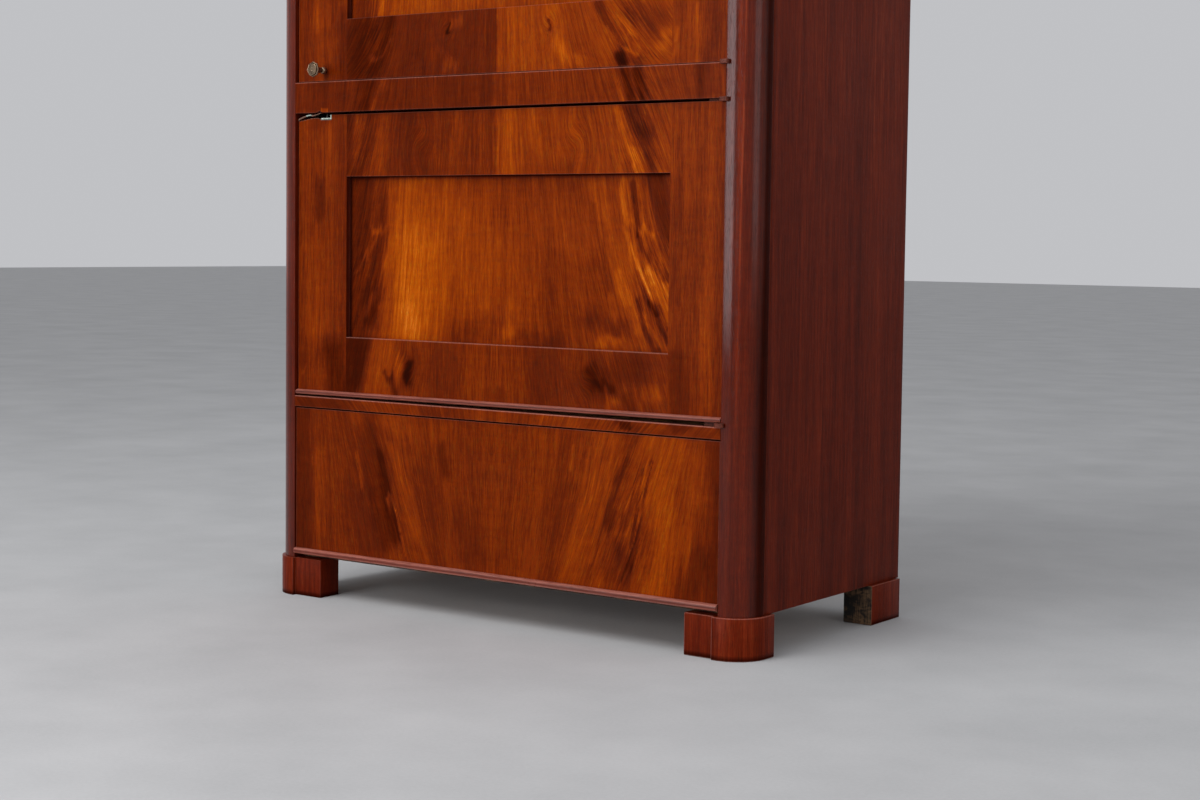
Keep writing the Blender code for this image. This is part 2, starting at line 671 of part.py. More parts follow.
def build_drawer(carrier):
    front_x = (-HALF_OPENING + DRAWER_SIDE_GAP, HALF_OPENING - DRAWER_SIDE_GAP)
    front = block(front_x, (DRAWER_FACE, DRAWER_FRONT_BACK), (DRAWER_Z, DRAWER_TOP))
    make_piece("drawer_front", front, "front_mahogany", carrier)
    section = half_round(DRAWER_FACE - FIT, DRAWER_FACE - DRAWER_BEAD_D, DRAWER_Z, DRAWER_Z + DRAWER_BEAD_H)
    make_piece("drawer_bead", drawn_out("x", section, *front_x), "front_mahogany", carrier, is_round=True)

    wall_in = DRAWER_BOX_HALF - DRAWER_WALL_T
    for side, word in ((-1, "left"), (1, "right")):
        x_span = sorted((side * wall_in, side * DRAWER_BOX_HALF))
        wall = block(x_span, (DRAWER_BOX_FRONT, DRAWER_BOX_BACK), (DRAWER_BOX_Z, DRAWER_BOX_TOP))
        make_piece(f"drawer_side_{word}", wall, "plain_pine", carrier)
    inner_x = (-wall_in + FIT, wall_in - FIT)
    bottom_z = DRAWER_BOX_Z + DRAWER_BOTTOM_LIFT
    bottom = block(inner_x, (DRAWER_BOX_FRONT, DRAWER_BOX_BACK), (bottom_z, bottom_z + DRAWER_BOTTOM_T))
    make_piece("drawer_bottom", bottom, "plain_pine", carrier)
    back_y = (DRAWER_BOX_BACK - DRAWER_WALL_T, DRAWER_BOX_BACK)
    back = block(inner_x, back_y, (bottom_z + DRAWER_BOTTOM_T + FIT, DRAWER_BOX_TOP))
    make_piece("drawer_back", back, "plain_pine", carrier)


def build_knob(stile, door_carrier):
    """Collar on the door, and the knob, its spindle through the stile and the tongue behind it."""
    centre = (KNOB_X, KNOB_Z)
    bore_r = SPINDLE_R + RUNNING_FIT
    bore = [(bore_r, DOOR_FACE - OVERRUN), (bore_r, RAIL_BACK + OVERRUN)]
    combine(stile, make_tool("spindle_bore", turned("y", centre, bore, PIN_STEPS)), "DIFFERENCE")

    ball_y = DOOR_FACE - COLLAR_BALL_OUT
    base_y = DOOR_FACE - FIT
    profile = [(bore_r, base_y), (COLLAR_BASE_R, base_y), (COLLAR_BASE_R, base_y - COLLAR_BASE_T)]
    start, end = (math.radians(angle) for angle in COLLAR_BALL_ANGLES)
    for i in range(BALL_STEPS + 1):
        angle = start + (end - start) * i / BALL_STEPS
        profile.append((COLLAR_BALL_R * math.cos(angle), ball_y - COLLAR_BALL_R * math.sin(angle)))
    profile.append((bore_r, profile[-1][1]))
    collar = turned("y", centre, profile, PIN_STEPS, is_ring=True)
    make_piece("knob_collar", collar, "aged_brass", door_carrier, is_round=True)
    collar_end = profile[-1][1]

    carrier = make_carrier("knob_axis", (KNOB_X, DOOR_FACE, KNOB_Z), door_carrier)
    tongue_front = RAIL_BACK + TONGUE_GAP
    tip = DOOR_FACE - KNOB_LENGTH
    head_front = tip + KNOB_DISC_T
    head_back = head_front + KNOB_HEAD_T
    stem = collar_end - head_back
    profile = [(SPINDLE_R, tongue_front + TONGUE_T + SPINDLE_END), (SPINDLE_R, collar_end)]
    profile += [(KNOB_NECK_R * radius, collar_end - along * stem) for radius, along in STEM_SHARES]
    profile += [(KNOB_DISC_R, (head_back + head_front) / 2), (KNOB_DISC_R, tip)]
    knob = turned("y", centre, profile, PIN_STEPS)
    knob = make_piece("door_knob", knob, "aged_brass", carrier, is_round=True)
    rim = [
        (KNOB_HEAD_BACK_R, head_back), (KNOB_HEAD_R, head_back - KNOB_FACET),
        (KNOB_HEAD_R, head_front + KNOB_FACET), (KNOB_HEAD_R - KNOB_FACET, head_front),
    ]
    head = turned("y", centre, rim, OCTAGON)
    combine(knob, make_tool("knob_head", head), "UNION")

    half = TONGUE_W / 2
    meets = math.degrees(math.asin(half / TONGUE_HUB_R))
    outline = arc(centre, TONGUE_HUB_R, meets, 360 - meets, PIN_STEPS)
    outline += arc((KNOB_X + TONGUE_L - half, KNOB_Z), half, -90, 90, EYE_STEPS)
    tongue = drawn_out("y", outline, tongue_front, tongue_front + TONGUE_T)
    tongue = make_piece("latch_tongue", tongue, "worn_iron", carrier, is_round=True)
    eye = [(SPINDLE_R + FIT, tongue_front - OVERRUN), (SPINDLE_R + FIT, tongue_front + OVERRUN)]
    combine(tongue, make_tool("tongue_eye", turned("y", centre, eye, PIN_STEPS)), "DIFFERENCE")


def build_bolt():
    """The slide bolt that drops into the lower door's keeper, and its guide on the middle floor."""
    centre = (BOLT_X, BOLT_Y)
    guide_low = MIDDLE_FLOOR_TOP + FIT
    guide_top = guide_low + GUIDE_T
    front = RAIL_BACK + FIT
    guide_x = (BOLT_X - GUIDE_W / 2, BOLT_X + GUIDE_W / 2)
    guide = block(guide_x, (front, front + GUIDE_D), (guide_low, guide_top))
    guide = make_piece("bolt_guide", guide, "worn_iron")
    bore_r = BOLT_R + RUNNING_FIT
    bore = turned("z", centre, [(bore_r, guide_low - OVERRUN), (bore_r, guide_top + OVERRUN)], PIN_STEPS)
    combine(guide, make_tool("guide_bore", bore), "DIFFERENCE")

    carrier = make_carrier("bolt_axis", (BOLT_X, BOLT_Y, guide_top))
    knob_low = guide_top + BOLT_TRAVEL + BOLT_STOP_ROOM
    profile = [
        (BOLT_R - BOLT_EDGE / 2, BOLT_TIP), (BOLT_R, BOLT_TIP + BOLT_EDGE), (BOLT_R, knob_low),
        (BOLT_KNOB_R - BOLT_EDGE, knob_low), (BOLT_KNOB_R, knob_low + BOLT_EDGE),
        (BOLT_KNOB_R, knob_low + BOLT_KNOB_H - BOLT_EDGE),
        (BOLT_KNOB_R - BOLT_EDGE, knob_low + BOLT_KNOB_H),
    ]
    make_piece("slide_bolt", turned("z", centre, profile, PIN_STEPS), "worn_iron", carrier, is_round=True)


def build_wardrobe():
    for old in list(bpy.data.objects):
        bpy.data.objects.remove(old, do_unlink=True)

    rails = build_case()
    build_feet()
    build_fittings()

    lower_axis = make_carrier("lower_door_axis", (PIVOT_X, PIVOT_Y, LOWER_Z))
    lower = build_lower_door(lower_axis)
    upper_axis = make_carrier("upper_door_axis", (PIVOT_X, PIVOT_Y, UPPER_Z))
    upper = build_door("upper_door", lambda x: UPPER_Z, UPPER_TOP, upper_axis)

    stile = lower["stile_right"]
    foot_gap = (THIN_RAIL_TOP, lower_foot(DOOR_RIGHT))
    build_pivot("lower_foot", rails["thin_rail"], [stile, lower["bead"]], foot_gap, lower_axis)
    build_pivot("lower_head", rails["middle_band"], [stile], (LOWER_TOP, BAND_Z), lower_axis)
    stile = upper["stile_right"]
    build_pivot("upper_foot", rails["middle_band"], [stile], (BAND_TOP, UPPER_Z), upper_axis)
    build_pivot("upper_head", rails["frieze_rail"], [stile], (UPPER_TOP, FRIEZE_Z), upper_axis)

    build_drawer(make_carrier("drawer_axis", (0, DRAWER_FACE, DRAWER_BOX_Z)))
    build_knob(upper["stile_left"], upper_axis)
    build_bolt()


build_wardrobe()
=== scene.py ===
import json
import math

import bmesh
import bpy
import numpy as np
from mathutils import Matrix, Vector

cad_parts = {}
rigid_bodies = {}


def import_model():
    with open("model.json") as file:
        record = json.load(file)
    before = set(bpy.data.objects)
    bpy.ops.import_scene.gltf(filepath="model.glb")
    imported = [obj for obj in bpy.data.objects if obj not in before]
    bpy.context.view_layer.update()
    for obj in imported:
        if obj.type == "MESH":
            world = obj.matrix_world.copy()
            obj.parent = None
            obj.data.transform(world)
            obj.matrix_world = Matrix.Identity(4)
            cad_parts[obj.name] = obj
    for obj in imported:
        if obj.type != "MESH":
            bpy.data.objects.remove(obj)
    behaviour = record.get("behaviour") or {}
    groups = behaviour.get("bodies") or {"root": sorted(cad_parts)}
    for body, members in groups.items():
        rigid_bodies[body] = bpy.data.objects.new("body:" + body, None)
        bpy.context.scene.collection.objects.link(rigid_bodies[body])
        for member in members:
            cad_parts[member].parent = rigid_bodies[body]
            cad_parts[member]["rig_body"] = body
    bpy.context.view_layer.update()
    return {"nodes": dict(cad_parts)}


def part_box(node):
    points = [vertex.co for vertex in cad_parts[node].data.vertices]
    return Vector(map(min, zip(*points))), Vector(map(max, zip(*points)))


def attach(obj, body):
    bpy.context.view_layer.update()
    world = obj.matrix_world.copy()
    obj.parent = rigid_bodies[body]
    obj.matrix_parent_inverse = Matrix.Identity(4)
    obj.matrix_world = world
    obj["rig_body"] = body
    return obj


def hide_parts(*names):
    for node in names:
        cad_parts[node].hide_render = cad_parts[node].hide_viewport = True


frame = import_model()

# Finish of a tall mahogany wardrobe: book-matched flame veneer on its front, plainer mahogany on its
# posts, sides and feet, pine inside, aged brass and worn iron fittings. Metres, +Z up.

BODY_OF = {name: node["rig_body"] for name, node in frame["nodes"].items()}

# Camera, from the photograph: its place, its turn in degrees, its lens and frame in mm, and its shift
CAMERA_AT = (2.1992, -3.0039, 0.6886)
CAMERA_PITCH = -3.7513
CAMERA_ROLL = -0.6905
CAMERA_TURN = 35.5583
CAMERA_LENS = 59.69
CAMERA_FRAME_W = 36
CAMERA_SHIFT = -0.025

# Boards: how far their edges are rounded, the cells of a veneered front, the worn strip along its edges
# that is painted lighter as wear and painted highlight, and the flat margin round its back
EDGE = 0.0008
INNER_EDGE = 0.0005
LINE_EDGE = 0.0011
THIN_EDGE = 0.0004
FOOT_EDGE = 0.0015
REAR_FOOT_EDGE = 0.0012
CELL = 0.003
WEAR_AND_HIGHLIGHT_W = 0.0010
BACK_MARGIN = 0.0004
BEVEL_STEPS = 2

# How worn the edges are, from 0 to 1, which also sets how much lighter they are painted as a painted
# highlight: the veneered fronts' and plain boards' own, and those of the feet
FRONT_WEAR_AND_HIGHLIGHT = 0.2
PLAIN_WEAR_AND_HIGHLIGHT = 0.15
FOOT_WEAR_AND_HIGHLIGHT = 0.6
REAR_FOOT_WEAR_AND_HIGHLIGHT = 0.5

# Two faces that meet at less than this angle, in degrees, are shaded as one curve
BOARD_SMOOTH = 35
FOOT_SMOOTH = 40
POST_SMOOTH = 30
BEAD_SMOOTH = 50
TURNED_SMOOTH = 28
PLANK_SMOOTH = 20

# How far apart two pieces of wood lie in the log, so that no two share their grain, and which way round
# a piece's places are taken for each direction of its grain
LOG_STEP = (1.7, 0.31, 0.77)
GRAIN_ORDER = {"x": (2, 1, 0), "y": (0, 2, 1), "z": (0, 1, 2)}


def low(node):
    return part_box(node)[0]


def high(node):
    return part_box(node)[1]


# Places taken from the frame
FRONT_Y = low("middle_band").y
DOOR_FACE = low("upper_door_stile_left").y
HALF_OPENING = -low("middle_band").x
HALF_WIDTH = high("side_panel_right").x
BACK_Y = high("side_panel_right").y
POST_BACK = high("corner_post_right").y
RECESS_LEFT = high("lower_door_stile_left").x
RECESS_RIGHT = low("lower_door_stile_right").x


# Node trees


def add(tree, kind, inputs=None, **settings):
    """A node of that kind, with its settings, and its sockets linked or set."""
    made = tree.nodes.new(kind if "Node" in kind else "ShaderNode" + kind)
    for name, value in settings.items():
        setattr(made, name, value)
    for name, value in (inputs or {}).items():
        if isinstance(value, bpy.types.NodeSocket):
            tree.links.new(value, made.inputs[name])
        else:
            made.inputs[name].default_value = value
    return made


def stretched(tree, place, scales, offset=(0, 0, 0)):
    """Places multiplied by a scale in each direction."""
    made = add(tree, "Mapping", {"Vector": place, "Scale": scales, "Location": offset})
    return made.outputs["Vector"]


def noise(tree, place, scales, detail=2.0, roughness=0.5, distortion=0.0, offset=(0, 0, 0)):
    """A noise around 0.5 that is finer where the scale is larger."""
    inputs = {
        "Vector": stretched(tree, place, scales, offset), "Scale": 1.0, "Detail": detail,
        "Roughness": roughness, "Distortion": distortion,
    }
    return add(tree, "TexNoise", inputs).outputs["Fac"]


def weighed(tree, value, factor, base):
    """value times factor, plus base."""
    return add(tree, "Math", {0: value, 1: factor, 2: base}, operation="MULTIPLY_ADD").outputs[0]


def varied(tree, shade, pattern, amount):
    """A shade moved up and down by a pattern around 0.5."""
    return weighed(tree, weighed(tree, pattern, amount, -amount / 2), 1.0, shade)


def times(tree, first, second):
    return add(tree, "Math", {0: first, 1: second}, operation="MULTIPLY").outputs[0]


def spread(tree, value, low_end, high_end, to_low=0.0, to_high=1.0, smooth=True):
    """A value between two ends brought to between two others, and held there."""
    kind = "SMOOTHSTEP" if smooth else "LINEAR"
    inputs = {
        "Value": value, "From Min": low_end, "From Max": high_end, "To Min": to_low, "To Max": to_high,
    }
    return add(tree, "MapRange", inputs, interpolation_type=kind).outputs["Result"]


def shades(tree, value, stops):
    """Colours along a value; each stop is its place and its colour."""
    made = add(tree, "ValToRGB", {"Fac": value})
    ramp = made.color_ramp
    while len(ramp.elements) < len(stops):
        ramp.elements.new(0.5)
    for element, (place, colour) in zip(ramp.elements, stops):
        element.position = place
        element.color = (*colour, 1)
    return made.outputs["Color"]


def blended(tree, factor, first, second, way="MIX"):
    """Two colours mixed."""
    made = add(tree, "Mix", data_type="RGBA", blend_type=way)
    for place, value in ((0, factor), (6, first), (7, second)):
        if isinstance(value, bpy.types.NodeSocket):
            tree.links.new(value, made.inputs[place])
        elif place == 0:
            made.inputs[place].default_value = value
        else:
            made.inputs[place].default_value = (*value, 1)
    return made.outputs[2]


def carried(tree, name, output="Fac"):
    """What the mesh carries under a name, such as its tone, its wear and painted highlight, or its places
    in the log.
    """
    return add(tree, "Attribute", attribute_name=name, attribute_type="GEOMETRY").outputs[output]


def bump(tree, height, depth, strength=1.0):
    inputs = {"Height": height, "Distance": depth, "Strength": strength}
    return add(tree, "Bump", inputs).outputs["Normal"]


def start_material(name):
    """A material and its shader."""
    made = bpy.data.materials.new(name)
    made.use_nodes = True
    return made, made.node_tree, made.node_tree.nodes["Principled BSDF"]


def connect(tree, shader, **inputs):
    """Links or sets the shader's sockets; an underscore stands for a space."""
    for name, value in inputs.items():
        name = name.replace("_", " ")
        if isinstance(value, bpy.types.NodeSocket):
            tree.links.new(value, shader.inputs[name])
        else:
            shader.inputs[name].default_value = value


# Mahogany, from its darkest streaks to its brightest
VENEER_SHADES = (
    (0.00, (0.022, 0.0030, 0.0012)),
    (0.22, (0.052, 0.0054, 0.0010)),
    (0.42, (0.116, 0.0118, 0.0008)),
    (0.58, (0.205, 0.0245, 0.0008)),
    (0.76, (0.325, 0.0500, 0.0006)),
    (0.90, (0.450, 0.0860, 0.0020)),
    (1.00, (0.560, 0.1350, 0.0100)),
)
CASE_SHADES = (
    (0.00, (0.014, 0.0018, 0.0006)),
    (0.30, (0.046, 0.0042, 0.0009)),
    (0.50, (0.090, 0.0078, 0.0014)),
    (0.70, (0.150, 0.0145, 0.0028)),
    (1.00, (0.280, 0.0380, 0.0085)),
)


def mahogany(name, stops, ribbon, streak, fibre, gloss, polish):
    """Polished mahogany: ribbons, streaks, fine fibres, dark pores and a shimmer across its grain.
    It reads where each place lies in the log, and how light, feathered and worn it is; its worn edges
    are painted lighter, as wear and painted highlight. Where it is dark, its polish has gone."""
    material, tree, shader = start_material(name)
    log = carried(tree, "log", "Vector")
    tone = carried(tree, "tone")
    feather = carried(tree, "feather")
    wear_and_highlight = carried(tree, "wear_and_highlight")

    ribbons = noise(tree, log, (32, 32, 1.2), 3, 0.55, 0.3)
    streaks = noise(tree, log, (170, 170, 8), 3, 0.62, 0.3)
    plumes = noise(tree, log, (190, 190, 17), 4, 0.66, 0.7)
    fibres = noise(tree, log, (430, 430, 24), 4, 0.72)
    flecks = noise(tree, log, (620, 620, 70), 2, 0.6, 0.2)
    bars = noise(tree, log, (22, 22, 60), 3, 0.6, 0.4)
    pores = noise(tree, log, (2400, 2400, 90), 1, 0.5)

    uneven = weighed(tree, streaks, 0.9, 0.55)
    shade = weighed(tree, tone, uneven, 0.5)
    shade = varied(tree, shade, ribbons, ribbon)
    shade = varied(tree, shade, streaks, streak)
    shade = weighed(tree, weighed(tree, plumes, 0.95, -0.475), feather, shade)
    shade = varied(tree, shade, fibres, fibre)
    shade = varied(tree, shade, bars, 0.14)
    colour = shades(tree, shade, stops)
    pore = spread(tree, pores, 0.60, 0.70)
    colour = blended(tree, times(tree, pore, 0.50), colour, (0.012, 0.0030, 0.0015))
    golden = blended(tree, 1.0, colour, (1.0, 1.40, 1.6), "MULTIPLY")
    colour = blended(tree, spread(tree, flecks, 0.50, 0.68), colour, golden)
    # Worn edges and bead lines are painted lighter and pinker: wear, and a painted highlight for the shine
    # along them
    bright = blended(tree, 1.0, colour, (1.7, 2.0, 3.2), "MULTIPLY")
    bright = blended(tree, 0.60, bright, (0.40, 0.17, 0.13))
    rubbed_and_lit = times(tree, wear_and_highlight, spread(tree, fibres, 0.32, 0.6, 0.35, 1.0))
    colour = blended(tree, rubbed_and_lit, colour, bright)

    smears = noise(tree, log, (9, 9, 6), 4, 0.6)
    roughness = spread(tree, smears, 0.3, 0.7, gloss - 0.04, gloss + 0.07, smooth=False)
    relief = weighed(tree, pore, -0.6, times(tree, fibres, 0.5))
    shine = spread(tree, tone, -0.30, -0.08, 0.12 * polish, polish)
    connect(tree, shader, Base_Color=colour, Roughness=roughness, Specular_IOR_Level=shine)
    connect(tree, shader, Normal=bump(tree, relief, 0.00012, 0.6))
    return material


PINE_SHADES = (
    (0.00, (0.105, 0.038, 0.012)),
    (0.35, (0.205, 0.085, 0.027)),
    (0.60, (0.300, 0.140, 0.050)),
    (1.00, (0.400, 0.215, 0.088)),
)
OLD_PINE_SHADES = (
    (0.00, (0.034, 0.012, 0.005)),
    (0.35, (0.105, 0.042, 0.016)),
    (0.60, (0.190, 0.085, 0.034)),
    (1.00, (0.300, 0.155, 0.070)),
)


def pine(name, stops):
    """Planed pine that has darkened with age: year rings, rays, small knots and dirt."""
    material, tree, shader = start_material(name)
    tone = carried(tree, "tone")
    log = carried(tree, "log", "Vector")
    wear_and_highlight = carried(tree, "wear_and_highlight")
    bend = noise(tree, log, (7, 7, 1.1), 2, 0.5)
    place = add(tree, "VectorMath", {0: log, 1: add(tree, "CombineXYZ", {
        "X": weighed(tree, bend, 0.12, -0.06),
        "Y": weighed(tree, bend, 0.10, -0.05),
    }).outputs[0]}, operation="ADD").outputs[0]
    rings = add(tree, "TexWave", {
        "Vector": stretched(tree, place, (1, 0.35, 0.03)), "Scale": 34.0, "Distortion": 1.2,
        "Detail": 2.0, "Detail Scale": 1.0,
    }, wave_type="BANDS", bands_direction="X", wave_profile="SAW").outputs["Fac"]
    fibres = noise(tree, log, (700, 700, 14), 3, 0.6)
    dirt = noise(tree, log, (6, 6, 3), 4, 0.6)
    shade = weighed(tree, rings, -0.28, 0.80)
    shade = weighed(tree, fibres, 0.30, shade)
    shade = weighed(tree, dirt, 0.55, shade)
    shade = weighed(tree, tone, 1.0, weighed(tree, shade, 1.0, -0.42))
    colour = shades(tree, shade, stops)
    colour = blended(tree, times(tree, wear_and_highlight, 0.35), colour, (0.13, 0.065, 0.028))
    roughness = spread(tree, fibres, 0.3, 0.7, 0.50, 0.72, smooth=False)
    relief = weighed(tree, rings, 0.4, times(tree, fibres, 0.6))
    connect(tree, shader, Base_Color=colour, Roughness=roughness, Normal=bump(tree, relief, 0.00025, 0.7))
    connect(tree, shader, Specular_IOR_Level=0.3)
    return material


def object_places(tree):
    """Where each place lies in the piece's own space."""
    return add(tree, "TexCoord").outputs["Object"]


def brass(name):
    """Brass that has gone brown, rubbed bright where fingers reach, and darkened by dirt and painted shade
    in its grooves and next to the door.
    """
    material, tree, shader = start_material(name)
    place = object_places(tree)
    tarnish = noise(tree, place, (160, 160, 160), 4, 0.6, 0.3)
    specks = noise(tree, place, (900, 900, 900), 2, 0.5)
    scratches = noise(tree, place, (2200, 300, 260), 1, 0.5)
    dirt = carried(tree, "dirt")
    colour = shades(tree, tarnish, (
        (0.30, (0.230, 0.145, 0.085)),
        (0.50, (0.330, 0.225, 0.145)),
        (0.70, (0.450, 0.330, 0.225)),
    ))
    colour = blended(tree, spread(tree, specks, 0.66, 0.74), colour, (0.090, 0.055, 0.034))
    # Dirt and painted shade darken the grooves and the parts next to the door
    colour = blended(tree, times(tree, dirt, 0.85), colour, (0.030, 0.016, 0.009))
    roughness = spread(tree, scratches, 0.3, 0.7, 0.24, 0.42, smooth=False)
    connect(tree, shader, Base_Color=colour, Roughness=roughness, Metallic=1.0)
    connect(tree, shader, Normal=bump(tree, weighed(tree, tarnish, 0.6, specks), 0.0001, 0.5))
    return material


def iron(name):
    """Hand-worn iron with rust in its pits."""
    material, tree, shader = start_material(name)
    place = object_places(tree)
    cloud = noise(tree, place, (120, 120, 120), 5, 0.62, 0.4)
    pits = noise(tree, place, (1100, 1100, 1100), 2, 0.55)
    colour = shades(tree, cloud, (
        (0.30, (0.018, 0.015, 0.013)),
        (0.50, (0.036, 0.031, 0.027)),
        (0.70, (0.080, 0.072, 0.064)),
    ))
    rust = spread(tree, weighed(tree, pits, 0.5, times(tree, cloud, 0.5)), 0.54, 0.62)
    colour = blended(tree, times(tree, rust, 0.7), colour, (0.120, 0.042, 0.016))
    metallic = spread(tree, rust, 0, 1, 1.0, 0.25)
    roughness = spread(tree, rust, 0, 1, 0.36, 0.75)
    connect(tree, shader, Base_Color=colour, Roughness=roughness, Metallic=metallic)
    connect(tree, shader, Normal=bump(tree, weighed(tree, rust, 0.5, pits), 0.00015, 0.6))
    return material


def browned_iron(name):
    """Iron that old polish and dirt have turned the colour of the wood round it."""
    material, tree, shader = start_material(name)
    place = object_places(tree)
    cloud = noise(tree, place, (180, 180, 180), 4, 0.6, 0.4)
    pits = noise(tree, place, (1100, 1100, 1100), 2, 0.55)
    colour = shades(tree, cloud, (
        (0.30, (0.045, 0.0090, 0.0045)),
        (0.55, (0.110, 0.0240, 0.0130)),
        (0.75, (0.200, 0.0620, 0.0400)),
    ))
    roughness = spread(tree, pits, 0.4, 0.65, 0.32, 0.52, smooth=False)
    connect(tree, shader, Base_Color=colour, Roughness=roughness, Specular_IOR_Level=0.12)
    connect(tree, shader, Normal=bump(tree, weighed(tree, cloud, 0.5, pits), 0.00015, 0.6))
    return material


def pale_metal(name):
    """Tinned brass with a pale green bloom."""
    material, tree, shader = start_material(name)
    place = object_places(tree)
    bloom = noise(tree, place, (300, 300, 300), 4, 0.62, 0.3)
    colour = shades(tree, bloom, (
        (0.32, (0.230, 0.250, 0.200)),
        (0.50, (0.430, 0.490, 0.420)),
        (0.70, (0.680, 0.740, 0.680)),
    ))
    connect(tree, shader, Base_Color=colour, Roughness=0.45, Metallic=0.35)
    connect(tree, shader, Normal=bump(tree, bloom, 0.0002, 0.6))
    return material


def raw_wood(name):
    """Sawn wood that was never stained: dark, and paler towards the outer side of a foot."""
    material, tree, shader = start_material(name)
    place = object_places(tree)
    paler_outwards = carried(tree, "paler_outwards")
    cloud = noise(tree, place, (28, 28, 60), 5, 0.65, 0.5)
    saw = noise(tree, place, (420, 420, 40), 3, 0.6)
    shade = weighed(tree, saw, 0.35, times(tree, cloud, 0.85))
    shade = weighed(tree, paler_outwards, 0.09, shade)
    colour = shades(tree, shade, (
        (0.48, (0.0030, 0.0020, 0.0014)),
        (0.62, (0.014, 0.0080, 0.0040)),
        (0.76, (0.150, 0.080, 0.036)),
    ))
    connect(tree, shader, Base_Color=colour, Roughness=0.85, Normal=bump(tree, saw, 0.0006, 0.8))
    return material


def broken_wood(name):
    """Fresh break of mahogany: pale pinkish splinters."""
    material, tree, shader = start_material(name)
    place = object_places(tree)
    fibres = noise(tree, place, (60, 900, 1300), 3, 0.6)
    colour = shades(tree, fibres, (
        (0.35, (0.060, 0.022, 0.012)),
        (0.55, (0.230, 0.110, 0.070)),
        (0.75, (0.420, 0.260, 0.180)),
    ))
    connect(tree, shader, Base_Color=colour, Roughness=0.7, Normal=bump(tree, fibres, 0.0004, 0.9))
    return material


# Of each mahogany: how strong its ribbons, streaks and fibres are, how rough it is, and how it shines
VENEER = mahogany("flame_veneer", VENEER_SHADES, 0.32, 0.30, 0.50, 0.24, 0.03)
EDGE_WOOD = mahogany("edge_mahogany", VENEER_SHADES, 0.32, 0.30, 0.50, 0.30, 0.18)
CASE_WOOD = mahogany("case_mahogany", CASE_SHADES, 0.46, 0.46, 0.52, 0.32, 0.04)
POST_WOOD = mahogany("post_mahogany", CASE_SHADES, 0.36, 0.40, 0.45, 0.13, 0.21)
BEAD_WOOD = mahogany("bead_mahogany", CASE_SHADES, 0.30, 0.40, 0.50, 0.30, 0.30)
PINE = pine("aged_pine", PINE_SHADES)
OLD_PINE = pine("old_pine", OLD_PINE_SHADES)
BROWNED = browned_iron("browned_iron")
PALE_METAL = pale_metal("tinned_brass")
BRASS = brass("aged_brass")
IRON = iron("worn_iron")
RAW = raw_wood("raw_foot_wood")
BROKEN = broken_wood("broken_mahogany")


# Figure of the veneer, in millimetres across from the front's middle and up from the piece's foot. Each
# stroke is how much lighter or darker it is, its half width, and the places that it runs through, each
# across and up. Each guide is a line that the grain follows: where it lies in the log, and how far out
# it lies at the piece's head, middle and foot. Each eye is where rings close round a point: how far out
# and how high, its reach both ways, and its bend. Each feather is a place, its reach and its strength,
# and each patch is its left, right, foot and head, and how much lighter or darker it is.
KNOT = -0.38
SHADE = -0.30
DARK = -0.24
DIM = -0.14
FAINT = -0.07
PALE = 0.07
AMBER = 0.14
GLOW = 0.18
ORANGE = 0.21
BLAZE = 0.27

# Guides of grain that runs straight up
STRAIGHT = ((100, 100, 100, 100), (300, 300, 300, 300))

